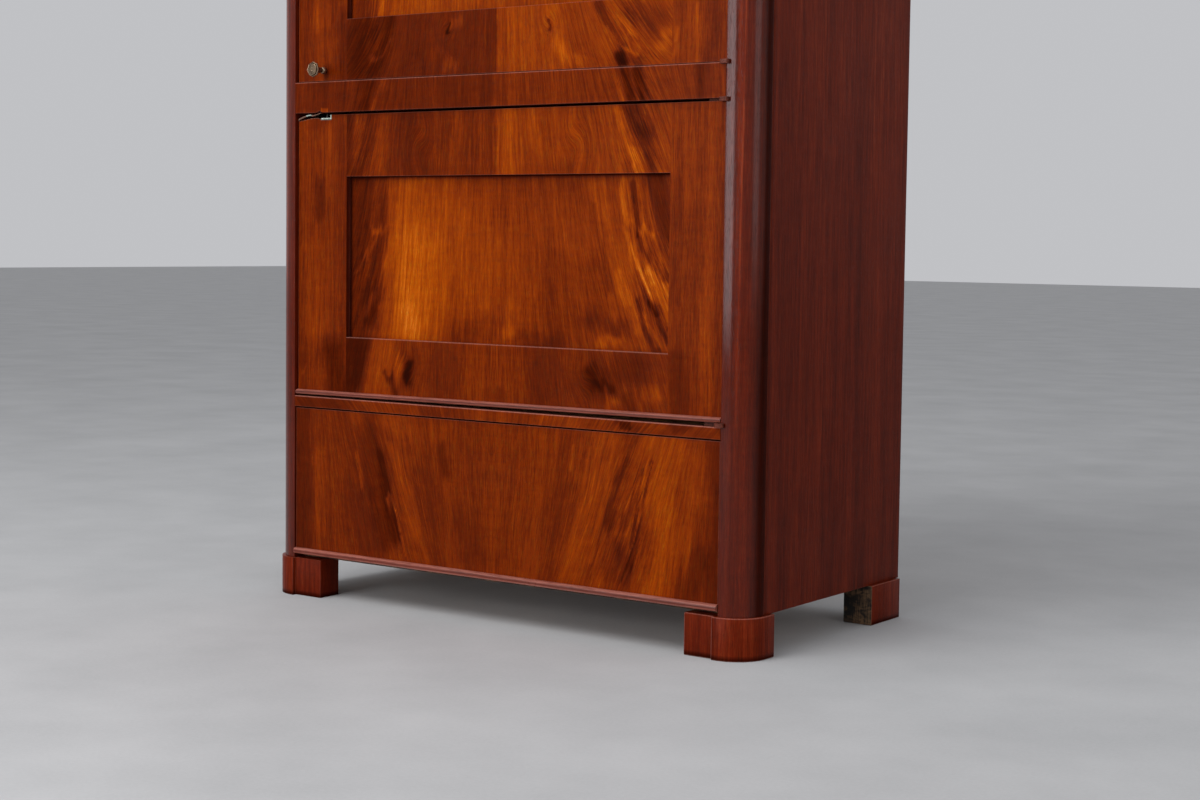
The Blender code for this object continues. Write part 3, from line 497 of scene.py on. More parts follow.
FIGURES = {
    "lower_door_panel": {
        "base": 0.10, "right": -0.04,
        "strokes": (
            (SHADE, 52, -335, 300, -322, 200, -326, 100, -342, 0),
            (DIM, 12, -272, 190, -285, 120, -305, 30), (DIM, 12, -268, 300, -275, 220),
            (ORANGE, 7, -298, 203, -284, 200), (AMBER, 4, -290, 195, -315, 150, -338, 120),
            (AMBER, 5, -268, 150, -290, 100, -315, 40), (PALE, 6, -262, 250, -265, 180, -275, 100),
            (PALE, 50, -205, 300, -200, 0), (AMBER, 58, -200, 170, -200, 40),
            (PALE, 30, -215, 50, -215, 20), (PALE, 4, -236, 250, -240, 140),
            (PALE, 45, -100, 220, -110, 80), (DIM, 30, -90, 12, -30, 20), (DIM, 20, 50, 10, 130, 8),
            (FAINT, 60, -50, 300, 150, 300), (PALE, 6, 22, 78, 18, 35), (AMBER, 9, 12, 18, 28, 20),
            (FAINT, 40, 130, 140, 150, 30), (DIM, 19, 200, 45, 270, 36), (FAINT, 24, 205, 140, 215, 70),
            (AMBER, 8, 222, 16, 262, 16), (PALE, 18, 213, 280, 240, 170, 275, 90),
            (DIM, 5, 203, 250, 222, 170, 240, 100), (ORANGE, 6, 262, 290, 272, 250, 280, 220),
            (ORANGE, 8, 276, 200, 292, 160, 312, 120, 330, 90), (AMBER, 11, 290, 178, 300, 158, 312, 135),
            (AMBER, 10, 262, 130, 282, 80, 300, 30), (ORANGE, 9, 318, 130, 340, 90, 362, 45),
            (ORANGE, 11, 335, 150, 352, 110, 369, 70), (AMBER, 6, 322, 50, 338, 10),
            (DARK, 5, 288, 280, 294, 240, 300, 200), (DARK, 4, 300, 135, 318, 100, 338, 60),
            (DARK, 5, 345, 75, 362, 35), (ORANGE, 7, 308, 206, 322, 200),
            (DARK, 8, 302, 200, 309, 175, 330, 150, 355, 120), (DARK, 22, 335, 290, 352, 240, 368, 190),
            (DARK, 6, 305, 85, 318, 40, 340, 0), (DARK, 4, 325, 85, 343, 40, 360, 20),
        ),
        "right_guides": (
            (100, 98, 112, 128), (200, 195, 222, 268), (260, 262, 292, 350), (300, 295, 338, 425),
            (350, 335, 390, 490),
        ),
        "left_guides": (
            (100, 100, 105, 112), (200, 210, 218, 230), (250, 252, 266, 292), (300, 288, 326, 372),
            (350, 330, 378, 435),
        ),
        "feathers": (
            (-305, 100, 45, 130, 0.9), (-290, 270, 40, 60, 0.4), (325, 100, 50, 130, 1.4),
            (300, 250, 30, 60, 0.6),
        ),
    },
    "lower_door_rail_head": {
        "base": -0.05, "right": 0.13,
        "strokes": (
            (DIM, 14, -350, 110, -350, 0), (DIM, 14, -298, 110, -305, 60, -325, 0),
            (PALE, 10, -262, 100, -275, 20), (PALE, 20, -310, 90, -335, 40),
            (FAINT, 45, -200, 100, -190, 0), (PALE, 26, 30, 100, 40, 0), (FAINT, 30, 90, 10, 160, 0),
            (AMBER, 8, 262, 110, 275, 70, 298, 20), (DARK, 10, 278, 110, 298, 75, 322, 45, 334, 0),
            (DARK, 13, 300, 110, 325, 70), (AMBER, 7, 292, 45, 308, 0), (DIM, 10, 285, 20, 290, 0),
        ),
        "right_guides": (
            (100, 85, 92, 100), (200, 190, 195, 200), (260, 252, 268, 292), (300, 275, 302, 335),
            (350, 330, 350, 375),
        ),
        "left_guides": (
            (100, 95, 97, 100), (200, 200, 200, 200), (260, 262, 272, 285), (300, 295, 312, 335),
            (350, 340, 355, 375),
        ),
        "eyes": ((170, 60, 30, 40, 14),),
        "feathers": ((-310, 60, 40, 200, 0.7), (305, 60, 45, 200, 1.1)),
    },
    "lower_door_rail_foot": {
        "base": 0.0, "right": -0.03,
        "strokes": (
            (SHADE, 36, -340, 110, -365, 0), (DIM, 16, -305, 110, -328, 30),
            (PALE, 34, -260, 90, -270, 20), (AMBER, 14, -225, 70, -222, 40),
            (KNOT, 10, -196, 66, -205, 40), (DIM, 18, -193, 78, -206, 35),
            (DARK, 6, -262, 56, -246, 44, -234, 15), (FAINT, 30, -130, 100, -120, 20),
            (PALE, 10, 12, 110, 10, 50), (FAINT, 30, 120, 100, 110, 20), (DIM, 34, 215, 60, 300, 85),
            (DIM, 14, 208, 75, 222, 48), (DIM, 8, 220, 55, 255, 52), (AMBER, 14, 325, 45, 350, 40),
            (AMBER, 10, 248, 20, 262, 28), (DIM, 12, 285, 30, 305, 0),
        ),
        "right_guides": ((100, 100, 105, 112), (250, 245, 262, 285), (350, 340, 360, 380)),
        "left_guides": ((100, 100, 100, 100), (250, 245, 253, 262), (320, 310, 325, 342)),
        "eyes": ((200, 55, 30, 40, 12),),
        "feathers": ((260, 60, 60, 100, 0.4), (-240, 50, 50, 50, 0.4)),
    },
    "middle_band": {
        "base": -0.13, "right": 0.10,
        "strokes": (
            (DIM, 22, -295, 55, -305, 0), (AMBER, 6, -262, 55, -280, 0), (PALE, 14, -455, 55, -455, 0),
            (DARK, 14, 277, 55, 292, 0), (DARK, 8, 305, 55, 322, 0), (AMBER, 6, 260, 55, 273, 0),
            (PALE, 12, 345, 55, 360, 0), (DIM, 10, 430, 55, 430, 0),
        ),
        "patches": ((-413.8, -395.3, -10, 8, ORANGE),),
        "right_guides": (
            (100, 95, 97, 100), (200, 190, 195, 200), (260, 248, 258, 270), (300, 282, 296, 312),
            (350, 330, 345, 362), (450, 450, 450, 450),
        ),
        "left_guides": (
            (200, 200, 200, 200), (260, 262, 270, 280), (300, 290, 300, 312), (400, 400, 400, 400),
            (480, 480, 480, 480),
        ),
        "feathers": ((305, 30, 50, 100, 0.9), (-290, 30, 50, 100, 0.5)),
    },
    "upper_door_rail_foot": {
        "base": -0.13, "right": 0.21,
        "strokes": (
            (DIM, 18, -250, 110, -257, 60, -285, 15), (DIM, 34, -310, 100, -330, 20),
            (AMBER, 4, -245, 70, -262, 46, -298, 35), (KNOT, 4, -107, 90, -110, 75),
            (AMBER, 11, -98, 90, -85, 95), (PALE, 9, -135, 45, -128, 45), (AMBER, 12, -115, 22, -100, 16),
            (KNOT, 4, 116, 84, 114, 68), (PALE, 30, 50, 100, 70, 0), (PALE, 22, 120, 100, 130, 0),
            (AMBER, 12, 132, 50, 150, 20, 180, 12), (DARK, 10, 215, 110, 240, 70, 268, 30, 275, 0),
            (ORANGE, 4, 235, 65, 258, 36, 300, 22), (DIM, 22, 290, 100, 330, 70),
            (KNOT, 10, 262, 12, 268, 0), (DIM, 14, 300, 12, 310, 0), (AMBER, 12, 345, 30, 365, 50),
        ),
        "right_guides": (
            (100, 95, 100, 105), (200, 180, 200, 225), (250, 212, 243, 278), (280, 250, 300, 360),
            (330, 310, 350, 410),
        ),
        "left_guides": (
            (100, 100, 102, 105), (200, 205, 212, 222), (250, 238, 252, 280), (280, 262, 292, 348),
            (330, 315, 345, 392),
        ),
        "eyes": ((112, 80, 20, 30, 10),),
        "feathers": ((280, 60, 50, 200, 1.0), (-290, 60, 50, 200, 0.8)),
    },
    "drawer_front": {
        "base": -0.03, "right": 0.02,
        "strokes": (
            (DIM, 30, -465, 270, -462, 20), (PALE, 18, -410, 200, -410, 50),
            (DIM, 30, -290, 240, -272, 170, -262, 110, -245, 50),
            (DIM, 12, -262, 210, -250, 150, -240, 100, -220, 50), (FAINT, 50, -310, 120, -280, 50),
            (BLAZE, 5.5, -244, 128, -230, 104), (BLAZE, 3.5, -230, 104, -215, 66),
            (ORANGE, 4, -212, 56, -200, 22), (AMBER, 2.5, -322, 200, -312, 170, -306, 140),
            (PALE, 26, -240, 270, -160, 250), (PALE, 14, -235, 220, -205, 140, -180, 70),
            (DIM, 13, -118, 225, -105, 185), (FAINT, 30, -70, 100, -50, 40),
            (PALE, 30, 250, 270, 220, 170, 180, 50), (AMBER, 6, 176, 255, 174, 220),
            (PALE, 10, 262, 200, 240, 120, 222, 60), (DIM, 8, 300, 235, 275, 200, 262, 160, 256, 120),
            (FAINT, 24, 275, 130, 262, 50), (FAINT, 10, 278, 90, 288, 60),
            (GLOW, 40, 370, 270, 355, 180, 385, 100, 355, 20), (PALE, 25, 420, 250, 430, 180),
            (DARK, 4, 342, 235, 328, 170, 310, 90, 288, 30), (DIM, 3, 325, 220, 315, 170, 300, 90),
            (PALE, 20, 318, 180, 300, 100), (PALE, 3, 333, 230, 321, 170, 305, 90),
            (DIM, 22, 478, 270, 476, 20), (DIM, 25, 440, 80, 410, 0),
        ),
        "right_guides": (
            (100, 118, 108, 90), (200, 245, 208, 160), (260, 318, 262, 212), (320, 372, 322, 272),
            (380, 420, 385, 362), (480, 480, 480, 480),
        ),
        "left_guides": (
            (100, 115, 105, 90), (200, 240, 200, 150), (260, 305, 252, 205), (320, 365, 322, 288),
            (380, 405, 390, 378), (480, 480, 480, 480),
        ),
        "feathers": (
            (-200, 140, 60, 250, 0.5), (220, 140, 60, 250, 0.5), (310, 140, 35, 120, 1.1),
            (-310, 150, 30, 100, 0.4),
        ),
    },
    "thin_rail": {
        "base": -0.01, "right": 0.0,
        "patches": ((279, 302, 4, 18, DIM),),
        "strokes": (
            (PALE, 30, 100, 10, 180, 10), (DIM, 10, 275, 16, 305, 16), (DIM, 8, 390, 14, 420, 14),
            (DIM, 30, -460, 10, -360, 10), (FAINT, 20, -150, 10, -120, 10),
        ),
        "right_guides": ((200, 200, 195, 190), (350, 360, 350, 340)),
        "left_guides": ((200, 200, 195, 190), (350, 360, 350, 340)),
        "feathers": ((280, 10, 100, 100, 0.6), (-280, 10, 80, 100, 0.5)),
    },
    "upper_door_panel": {
        "base": 0.12, "right": -0.02,
        "strokes": (
            (DARK, 30, -300, 610, -290, 400, -320, 200, -330, 0),
            (DARK, 30, 310, 610, 300, 400, 330, 200, 340, 0),
            (ORANGE, 8, -255, 600, -250, 400, -275, 200, -285, 0),
            (ORANGE, 8, 262, 600, 258, 400, 284, 200, 294, 0), (AMBER, 50, -150, 550, -170, 100),
            (AMBER, 40, 150, 500, 170, 120), (DIM, 8, -235, 450, -230, 300), (DIM, 8, 243, 450, 238, 300),
            (FAINT, 30, 0, 610, 0, 300), (DARK, 6, 300, 220, 315, 120, 340, 40),
            (DARK, 6, -300, 240, -310, 140, -335, 50), (AMBER, 8, 50, 60, 45, 20),
            (AMBER, 8, -50, 60, -45, 20),
        ),
        "right_guides": (
            (100, 90, 100, 110), (200, 185, 195, 215), (260, 250, 256, 290), (300, 280, 296, 345),
            (350, 320, 342, 400),
        ),
        "left_guides": (
            (100, 90, 100, 110), (200, 180, 190, 210), (260, 243, 250, 283), (300, 272, 288, 338),
            (350, 312, 335, 392),
        ),
        "eyes": ((140, 400, 50, 80, 16),),
        "feathers": ((-300, 300, 50, 400, 1.0), (310, 300, 50, 400, 1.0)),
    },
    "upper_door_rail_head": {
        "base": -0.02, "right": 0.06,
        "strokes": (
            (DARK, 14, -290, 110, -310, 0), (DARK, 14, 290, 110, 310, 0), (AMBER, 7, -262, 110, -275, 0),
            (AMBER, 7, 262, 110, 275, 0), (PALE, 40, 100, 100, 110, 0),
        ),
        "right_guides": ((200, 190, 195, 200), (300, 280, 295, 312)),
        "left_guides": ((200, 190, 195, 200), (300, 280, 295, 312)),
        "eyes": ((160, 60, 45, 40, 20),),
        "feathers": ((-300, 60, 40, 200, 0.8), (300, 60, 40, 200, 0.8)),
    },
    "frieze_rail": {
        "base": -0.03, "right": 0.05,
        "strokes": (
            (DARK, 14, -280, 75, -290, 0), (DARK, 14, 280, 75, 290, 0), (AMBER, 7, -252, 75, -262, 0),
            (AMBER, 7, 252, 75, 262, 0), (PALE, 50, 120, 40, 160, 40),
        ),
        "right_guides": ((200, 190, 195, 200), (300, 285, 293, 302)),
        "left_guides": ((200, 190, 195, 200), (300, 285, 293, 302)),
        "feathers": ((290, 40, 50, 100, 0.8), (-290, 40, 50, 100, 0.8)),
    },
    "lower_door_stile_left": {
        "base": -0.03, "right": 0.0,
        "strokes": (
            (PALE, 12, -405, 500, -410, 380), (DIM, 14, -420, 400, -425, 340),
            (PALE, 22, -440, 280, -430, 120), (DARK, 34, -390, 80, -370, 0),
            (FAINT, 10, -365, 500, -366, 100), (FAINT, 20, -470, 100, -450, 0),
            (PALE, 5, -470, 45, -462, 52),
        ),
        "right_guides": STRAIGHT,
        "left_guides": ((360, 360, 360, 360), (420, 418, 420, 422), (470, 466, 470, 472)),
        "feathers": ((-420, 400, 40, 100, 0.3),),
    },
    "lower_door_stile_right": {
        "base": 0.01, "right": 0.0,
        "strokes": (
            (FAINT, 12, 468, 520, 468, 0), (PALE, 10, 410, 480, 405, 360), (PALE, 14, 440, 240, 440, 100),
            (DIM, 20, 390, 100, 390, 0), (FAINT, 10, 385, 400, 385, 200),
        ),
        "right_guides": ((370, 370, 372, 374), (420, 420, 418, 420), (470, 468, 470, 470)),
        "left_guides": STRAIGHT,
    },
    "upper_door_stile_left": {
        "base": -0.03, "right": 0.0,
        "strokes": (
            (PALE, 10, -430, 800, -430, 100), (PALE, 6, -400, 140, -400, 40),
            (DIM, 12, -365, 120, -365, 0),
        ),
        "right_guides": STRAIGHT,
        "left_guides": ((360, 358, 360, 362), (420, 422, 420, 418), (470, 470, 468, 470)),
    },
    "upper_door_stile_right": {
        "base": 0.0, "right": 0.0,
        "strokes": (
            (ORANGE, 5, 375, 55, 373, 35), (AMBER, 6, 376, 25, 374, 12), (AMBER, 4, 418, 100, 418, 0),
            (FAINT, 10, 450, 800, 450, 0),
        ),
        "right_guides": ((370, 368, 370, 374), (420, 420, 422, 418), (470, 470, 470, 470)),
        "left_guides": STRAIGHT,
    },
}


MM_PER_METRE = 1000

# How sharply a stroke ends, how close two guides may lie, and how strongly an eye bends the grain
STROKE_POWER = 2.6
GUIDE_GAP = 0.004
EYE_WEIGHT = 0.75
EYE_SLOPE = 0.6

# Unevenness of the grain and of the strokes' edges: how far it moves a place, how long it is across and
# along the grain, and what it adds to the piece's seed
WAVY_GRAIN = (0.004, 0.05, 0.09, 0)
WIDE_FRINGE = (0.012, 0.007, 0.06, 20)
FINE_FRINGE = (0.006, 0.0035, 0.03, 40)
UP_FRINGE = (0.016, 0.006, 0.05, 60)
RIPPLE_CELLS = 128

# Width of the soft step where two leaves meet, painted shade along the frame of a panel and its width,
# and how close to a sharp change of tone the mesh is divided
JOIN_BLEND = 0.0006
RECESS_SHADE = -0.45
RECESS_SHADE_W = 0.004
SHARP_STEP = 0.0002


def metres(lengths):
    """Lengths of a figure, from millimetres."""
    return [length / MM_PER_METRE for length in lengths]


def stroke(line, half_width, across, up):
    """How strongly a stroke covers each place: 1 along its middle, fading out."""
    nearest = np.full(across.shape, np.inf)
    points = list(zip(line[::2], line[1::2]))
    for (x0, z0), (x1, z1) in zip(points, points[1:]):
        run = (x1 - x0) ** 2 + (z1 - z0) ** 2
        share = ((across - x0) * (x1 - x0) + (up - z0) * (z1 - z0)) / run
        share = np.clip(share, 0, 1)
        gap = np.hypot(across - x0 - share * (x1 - x0), up - z0 - share * (z1 - z0))
        nearest = np.minimum(nearest, gap)
    return np.exp(-((nearest / half_width) ** STROKE_POWER))


def mound(middle_x, middle_z, reach_x, reach_z, across, up):
    """1 at its middle, falling off to nothing past its reach."""
    return np.exp(-(((across - middle_x) / reach_x) ** 2) - ((up - middle_z) / reach_z) ** 2)


def ripple(seed, first, second):
    """Smooth random values between -0.5 and 0.5 over two directions."""
    size = RIPPLE_CELLS
    table = np.random.default_rng(seed).random((size, size)) - 0.5
    i, j = np.floor(first).astype(int), np.floor(second).astype(int)
    a, b = first - i, second - j
    a, b = a * a * (3 - 2 * a), b * b * (3 - 2 * b)
    i, j, k, m = i % size, j % size, (i + 1) % size, (j + 1) % size
    lower = table[i, j] * (1 - a) + table[k, j] * a
    upper = table[i, m] * (1 - a) + table[k, m] * a
    return lower * (1 - b) + upper * b


def wander(kind, seed, across, up):
    """How far the unevenness of one kind moves each place."""
    distance, wide, tall, own_seed = kind
    return distance * ripple(seed + own_seed, across / wide, up / tall)


def between_guides(guides, out, share):
    """Where each place lies across the log, from the guides on both sides of it."""
    lines = [(0.0, np.zeros(out.shape))]
    for guide in guides:
        log, head, middle, foot = metres(guide)
        line = foot * (1 - share) * (1 - 2 * share) + middle * 4 * share * (1 - share)
        lines.append((log, line + head * share * (2 * share - 1)))
    result = out - lines[-1][1] + lines[-1][0]
    for (log0, line0), (log1, line1) in zip(lines, lines[1:]):
        part = (out - line0) / np.maximum(line1 - line0, GUIDE_GAP)
        result = np.where((out >= line0) & (out < line1), log0 + part * (log1 - log0), result)
    return result


def figure_of(node, across, up, height, seed):
    """Tone, feathering and the grain's sideways place at each place of a veneered front."""
    figure = FIGURES[node]
    share = np.clip(up / height, 0, 1)
    out = np.abs(across)
    right = between_guides(figure["right_guides"], out, share)
    left = between_guides(figure["left_guides"], out, share)
    sideways = np.where(across > 0, right, left)
    for *spot, bend in figure.get("eyes", ()):
        middle_x, middle_z, *_ = metres(spot)
        weight = EYE_WEIGHT * mound(*metres(spot), out, up)
        ring = middle_x + EYE_SLOPE * (up - middle_z) - bend * (out - middle_x) ** 2
        sideways = sideways * (1 - weight) + ring * weight
    sideways = sideways + wander(WAVY_GRAIN, seed, out, up)
    side = np.where(across > 0, 1.0, -1.0)
    fringe = wander(WIDE_FRINGE, seed, sideways, up)
    fringe += wander(FINE_FRINGE, seed, sideways, up)
    x, z = across + side * fringe, up + wander(UP_FRINGE, seed, sideways, up)
    tone = np.full(across.shape, float(figure["base"]))
    tone += figure["right"] * 0.5 * (1 + np.tanh(across / JOIN_BLEND))
    for amount, *lengths in figure["strokes"]:
        half_width, *line = metres(lengths)
        tone += amount * stroke(line, half_width, x, z)
    for *sides, amount in figure.get("patches", ()):
        x0, x1, z0, z1 = metres(sides)
        tone += amount * ((across > x0) & (across < x1) & (up > z0) & (up < z1))
    # Painted shade along a panel's frame, strongest at the top and left
    if node.endswith("_panel"):
        recess = ((height - up, RECESS_SHADE), (across - RECESS_LEFT, RECESS_SHADE), (RECESS_RIGHT - across, RECESS_SHADE / 2))
        for away, amount in recess:
            tone += amount * np.exp(-((away / RECESS_SHADE_W) ** 2))
    feather = np.zeros(across.shape)
    for *spot, amount in figure.get("feathers", ()):
        feather += amount * mound(*metres(spot), x, up)
    return tone, feather, sideways


def patch_lines(node):
    """Lines of the mesh close to both sides of a patch, which keep it sharp."""
    left, right, *_ = FIGURES[node]["patches"][0]
    return [side + step for side in metres((left, right)) for step in (-SHARP_STEP, SHARP_STEP)]


# Meshes


def finished_mesh(name, shape):
    """A mesh of the shape, which is freed."""
    mesh = bpy.data.meshes.new(name)
    shape.to_mesh(mesh)
    shape.free()
    return mesh


def skinned(name, shape, rings, closed=False):
    """A mesh whose skin runs over rings of corners. A ring of one corner is a tip. Where the rings are
    closed the last one joins the first, and otherwise both ends are covered."""
    pairs = list(zip(rings, rings[1:])) + ([(rings[-1], rings[0])] if closed else [])
    for here, there in pairs:
        for i, corner in enumerate(here):
            j = (i + 1) % len(here)
            beyond = there if len(there) == 1 else (there[j], there[i])
            shape.faces.new((corner, here[j], *beyond))
    for ring in () if closed else (rings[0], rings[-1]):
        if len(ring) > 1:
            shape.faces.new(ring)
    bmesh.ops.recalc_face_normals(shape, faces=shape.faces[:])
    return finished_mesh(name, shape)


def mesh_piece(name, mesh, materials, smooth_angle=None):
    """An object at the origin that holds a finished mesh."""
    for material in materials:
        mesh.materials.append(material)
    if smooth_angle is not None:
        mesh.shade_smooth()
        mesh.set_sharp_from_angle(angle=math.radians(smooth_angle))
    piece = bpy.data.objects.new(name, mesh)
    bpy.context.scene.collection.objects.link(piece)
    return piece


def places_of(mesh):
    """The places of a mesh's corners, one row each."""
    flat = np.zeros(len(mesh.vertices) * 3)
    mesh.vertices.foreach_get("co", flat)
    return flat.reshape(-1, 3)


def write_value(mesh, name, values):
    layer = mesh.attributes.get(name) or mesh.attributes.new(name, "FLOAT", "POINT")
    layer.data.foreach_set("value", np.asarray(values, np.float32).ravel())


def write_log(mesh, places):
    layer = mesh.attributes.get("log") or mesh.attributes.new("log", "FLOAT_VECTOR", "POINT")
    layer.data.foreach_set("vector", np.asarray(places, np.float32).ravel())


def in_log(places, count):
    """The places, moved to where a piece of wood was cut from its log."""
    return places + np.multiply.outer(count, LOG_STEP)


log_count = 0


def lay_grain(mesh, along="z"):
    """Writes where each place lies in a log of its own, whose grain runs along one direction."""
    global log_count
    log_count += 1
    places = places_of(mesh)
    write_log(mesh, in_log(places[:, GRAIN_ORDER[along]], log_count))
    for name in ("tone", "feather", "wear_and_highlight"):
        if name not in mesh.attributes:
            write_value(mesh, name, np.zeros(len(places)))


def stand_for(piece, node, slot, *others):
    """The finished piece stands for its CAD node, on its body; its slot is not used."""
    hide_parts(node, *others)
    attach(piece, BODY_OF[node])
    return piece


# Corners closer than this are one, faces that meet at less than this angle are one flat face, and the
# edges that are longer than a length and sharper than an angle are rounded. Angles are in degrees.
SAME_PLACE = 0.00001
FLAT_ANGLE = 0.5
SHORT_EDGE = 0.006
SHARP_ANGLE = 30


def clean_copy(node):
    """The node's solid with its loose triangles joined into whole faces."""
    shape = bmesh.new()
    shape.from_mesh(frame["nodes"][node].data)
    bmesh.ops.remove_doubles(shape, verts=shape.verts[:], dist=SAME_PLACE)
    edges, verts = shape.edges[:], shape.verts[:]
    bmesh.ops.dissolve_limit(shape, angle_limit=math.radians(FLAT_ANGLE), verts=verts, edges=edges)
    return shape


def soften(shape, width):
    """Rounds the long sharp edges of a solid."""
    edges = [
        edge for edge in shape.edges
        if edge.calc_length() > SHORT_EDGE
        and len(edge.link_faces) == 2
        and edge.calc_face_angle(0) > math.radians(SHARP_ANGLE)
    ]
    return bmesh.ops.bevel(
        shape, geom=edges, offset=width, segments=BEVEL_STEPS, profile=0.5, affect="EDGES",
        clamp_overlap=True,
    )["faces"]


def slice_at(shape, direction, places):
    """Divides a shape's faces at places along one direction, so that its tone can change there."""
    for place in places:
        normal = [float(letter == direction) for letter in "xyz"]
        point = [place * part for part in normal]
        everything = shape.verts[:] + shape.edges[:] + shape.faces[:]
        bmesh.ops.bisect_plane(shape, geom=everything, dist=SAME_PLACE, plane_co=point, plane_no=normal)


def plain_piece(node, slot, material, along="z", edge=EDGE, smooth_angle=BOARD_SMOOTH, tone=0.0,
                worn_and_lit=PLAIN_WEAR_AND_HIGHLIGHT, slices=()):
    """A board or block with softened edges, from its node's own solid. The tone is one value, or a
    function of the places; slices are the direction and the places where the solid is divided."""
    shape = clean_copy(node)
    layer = shape.faces.layers.int.new("rounded")
    for face in soften(shape, edge):
        face[layer] = 1
    for direction, cuts in slices:
        slice_at(shape, direction, cuts)
    mesh = finished_mesh(f"{node}_wood", shape)
    is_round = np.zeros(len(mesh.polygons), int)
    mesh.attributes["rounded"].data.foreach_get("value", is_round)
    sizes = np.zeros(len(mesh.polygons), int)
    mesh.polygons.foreach_get("loop_total", sizes)
    mesh.attributes.remove(mesh.attributes["rounded"])
    wear_and_highlight = mesh.attributes.new("wear_and_highlight", "FLOAT", "CORNER")
    wear_and_highlight.data.foreach_set("value", np.repeat(is_round * worn_and_lit, sizes).astype(np.float32))
    places = places_of(mesh)
    write_value(mesh, "tone", tone(places) if callable(tone) else np.full(len(places), tone))
    lay_grain(mesh, along)
    piece = mesh_piece(f"{node}_wood", mesh, [material], smooth_angle)
    return stand_for(piece, node, slot)


def stations(start, end, cell):
    """Places from start to end about a cell apart, with a narrow one at each end for worn edges and their
    painted highlight.
    """
    count = max(2, round((end - start) / cell))
    middle = np.linspace(start, end, count + 1)[1:-1]
    return np.concatenate(([start, start + WEAR_AND_HIGHLIGHT_W], middle, [end - WEAR_AND_HIGHLIGHT_W, end]))


# Materials of a veneered board, in their order, and how worn the edge of its back is
FACE_WOOD, SIDE_WOOD, BACK_WOOD, ROUND_WOOD, TORN_WOOD = range(5)
BACK_WORN = 0.3


class Front:
    """A board with a finely divided front, rounded front edges and a plain back, built from its
    four sides. foot and head give the height of its lower and upper edge at each place across."""

    def __init__(self, left, right, foot, head, face, back, edges, worn_and_lit, extra=()):
        self.left, self.right, self.foot, self.head = left, right, foot, head
        self.face, self.back = face, back
        self.edges = edges
        self.worn_and_lit = worn_and_lit
        left_edge, right_edge, *_ = edges
        xs = stations(left + left_edge, right - right_edge, CELL)
        self.xs = np.unique(np.concatenate((xs, extra)))
        height = head(left) - foot(left)
        self.shares = stations(0, 1, CELL / height)
        self.shares[1] = WEAR_AND_HIGHLIGHT_W / height
        self.shares[-2] = 1 - WEAR_AND_HIGHLIGHT_W / height
        self.points = []
        self.faces = []
        self.kinds = []
        self.wear_and_highlight = []
        self.plain = []

    def add_point(self, x, y, z, wear_and_highlight):
        self.points.append((x, y, z))
        self.wear_and_highlight.append(wear_and_highlight)
        return len(self.points) - 1

    def add_face(self, corners, kind):
        self.faces.append(corners)
        self.kinds.append(kind)

    def wear_and_highlight_at(self, i, j, last_x, last_z):
        """How worn the front's edge is at a place on its border, and how much lighter it is painted, as
        wear and painted highlight.
        """
        sides = (i == 0, i == last_x, j == 0, j == last_z)
        borders = zip(sides, self.worn_and_lit, self.edges)
        return max([0.0] + [worn_and_lit for at_side, worn_and_lit, edge in borders if at_side and edge > 0])

    def build(self):
        left_edge, right_edge, foot_edge, head_edge = self.edges
        last_x, last_z = len(self.xs) - 1, len(self.shares) - 1
        grid = []
        for i, x in enumerate(self.xs):
            low_end, high_end = self.foot(x) + foot_edge, self.head(x) - head_edge
            column = []
            for j, share in enumerate(self.shares):
                wear_and_highlight = self.wear_and_highlight_at(i, j, last_x, last_z)
                column.append(self.add_point(x, self.face, low_end + share * (high_end - low_end), wear_and_highlight))
            grid.append(column)
        for i in range(last_x):
            for j in range(last_z):
                self.add_face((grid[i][j], grid[i + 1][j], grid[i + 1][j + 1], grid[i][j + 1]), FACE_WOOD)

        border = [(i, 0) for i in range(last_x + 1)]
        border += [(last_x, j) for j in range(1, last_z + 1)]
        border += [(i, last_z) for i in range(last_x - 1, -1, -1)]
        border += [(0, j) for j in range(last_z - 1, 0, -1)]
        deepest = max(self.edges)
        ring = [grid[i][j] for i, j in border]
        for step in range(1, BEVEL_STEPS + 2):
            angle = math.pi / 2 * step / (BEVEL_STEPS + 1)
            out, deep = math.sin(angle), (1 - math.cos(angle)) * deepest
            new_ring = []
            for i, j in border:
                x, _, z = self.points[grid[i][j]]
                x += out * (right_edge * (i == last_x) - left_edge * (i == 0))
                z += out * (head_edge * (j == last_z) - foot_edge * (j == 0))
                wear_and_highlight = self.wear_and_highlight_at(i, j, last_x, last_z)
                new_ring.append(self.add_point(x, self.face + deep, z, wear_and_highlight))
            self.join_rings(ring, new_ring, ROUND_WOOD)
            ring = new_ring
        back_ring = []
        for p in ring:
            x, _, z = self.points[p]
            back_ring.append(self.add_point(x, self.back, z, BACK_WORN))
        self.join_rings(ring, back_ring, SIDE_WOOD)
        centre_x = (self.left + self.right) / 2
        centre_z = (self.foot(self.left) + self.head(self.left)) / 2
        wide = self.right - self.left
        tall = self.head(self.right) - self.foot(self.right)
        inner = []
        for p in back_ring:
            x, _, z = self.points[p]
            x = centre_x + (x - centre_x) * (1 - 2 * BACK_MARGIN / wide)
            z = centre_z + (z - centre_z) * (1 - 2 * BACK_MARGIN / tall)
            inner.append(self.add_point(x, self.back, z, 0.0))
        self.plain = inner
        self.join_rings(back_ring, inner, BACK_WOOD)
        self.add_face(tuple(reversed(inner)), BACK_WOOD)

    def join_rings(self, front_ring, back_ring, kind):
        count = len(front_ring)
        for i in range(count):
            j = (i + 1) % count
            self.add_face((front_ring[j], front_ring[i], back_ring[i], back_ring[j]), kind)

    def mesh(self, name):
        self.build()
        mesh = bpy.data.meshes.new(name)
        mesh.from_pydata(self.points, [], self.faces)
        mesh.polygons.foreach_set("material_index", self.kinds)
        write_value(mesh, "wear_and_highlight", self.wear_and_highlight)
        return mesh


# How dark a board's back is, how deep each leaf of veneer lies in the log, and how far off in the log the
# boards are that carry the veneer
BACK_TONE = -0.06
LEAF_T = 0.004
CARRIER_SHIFT = (68, 0, 0)


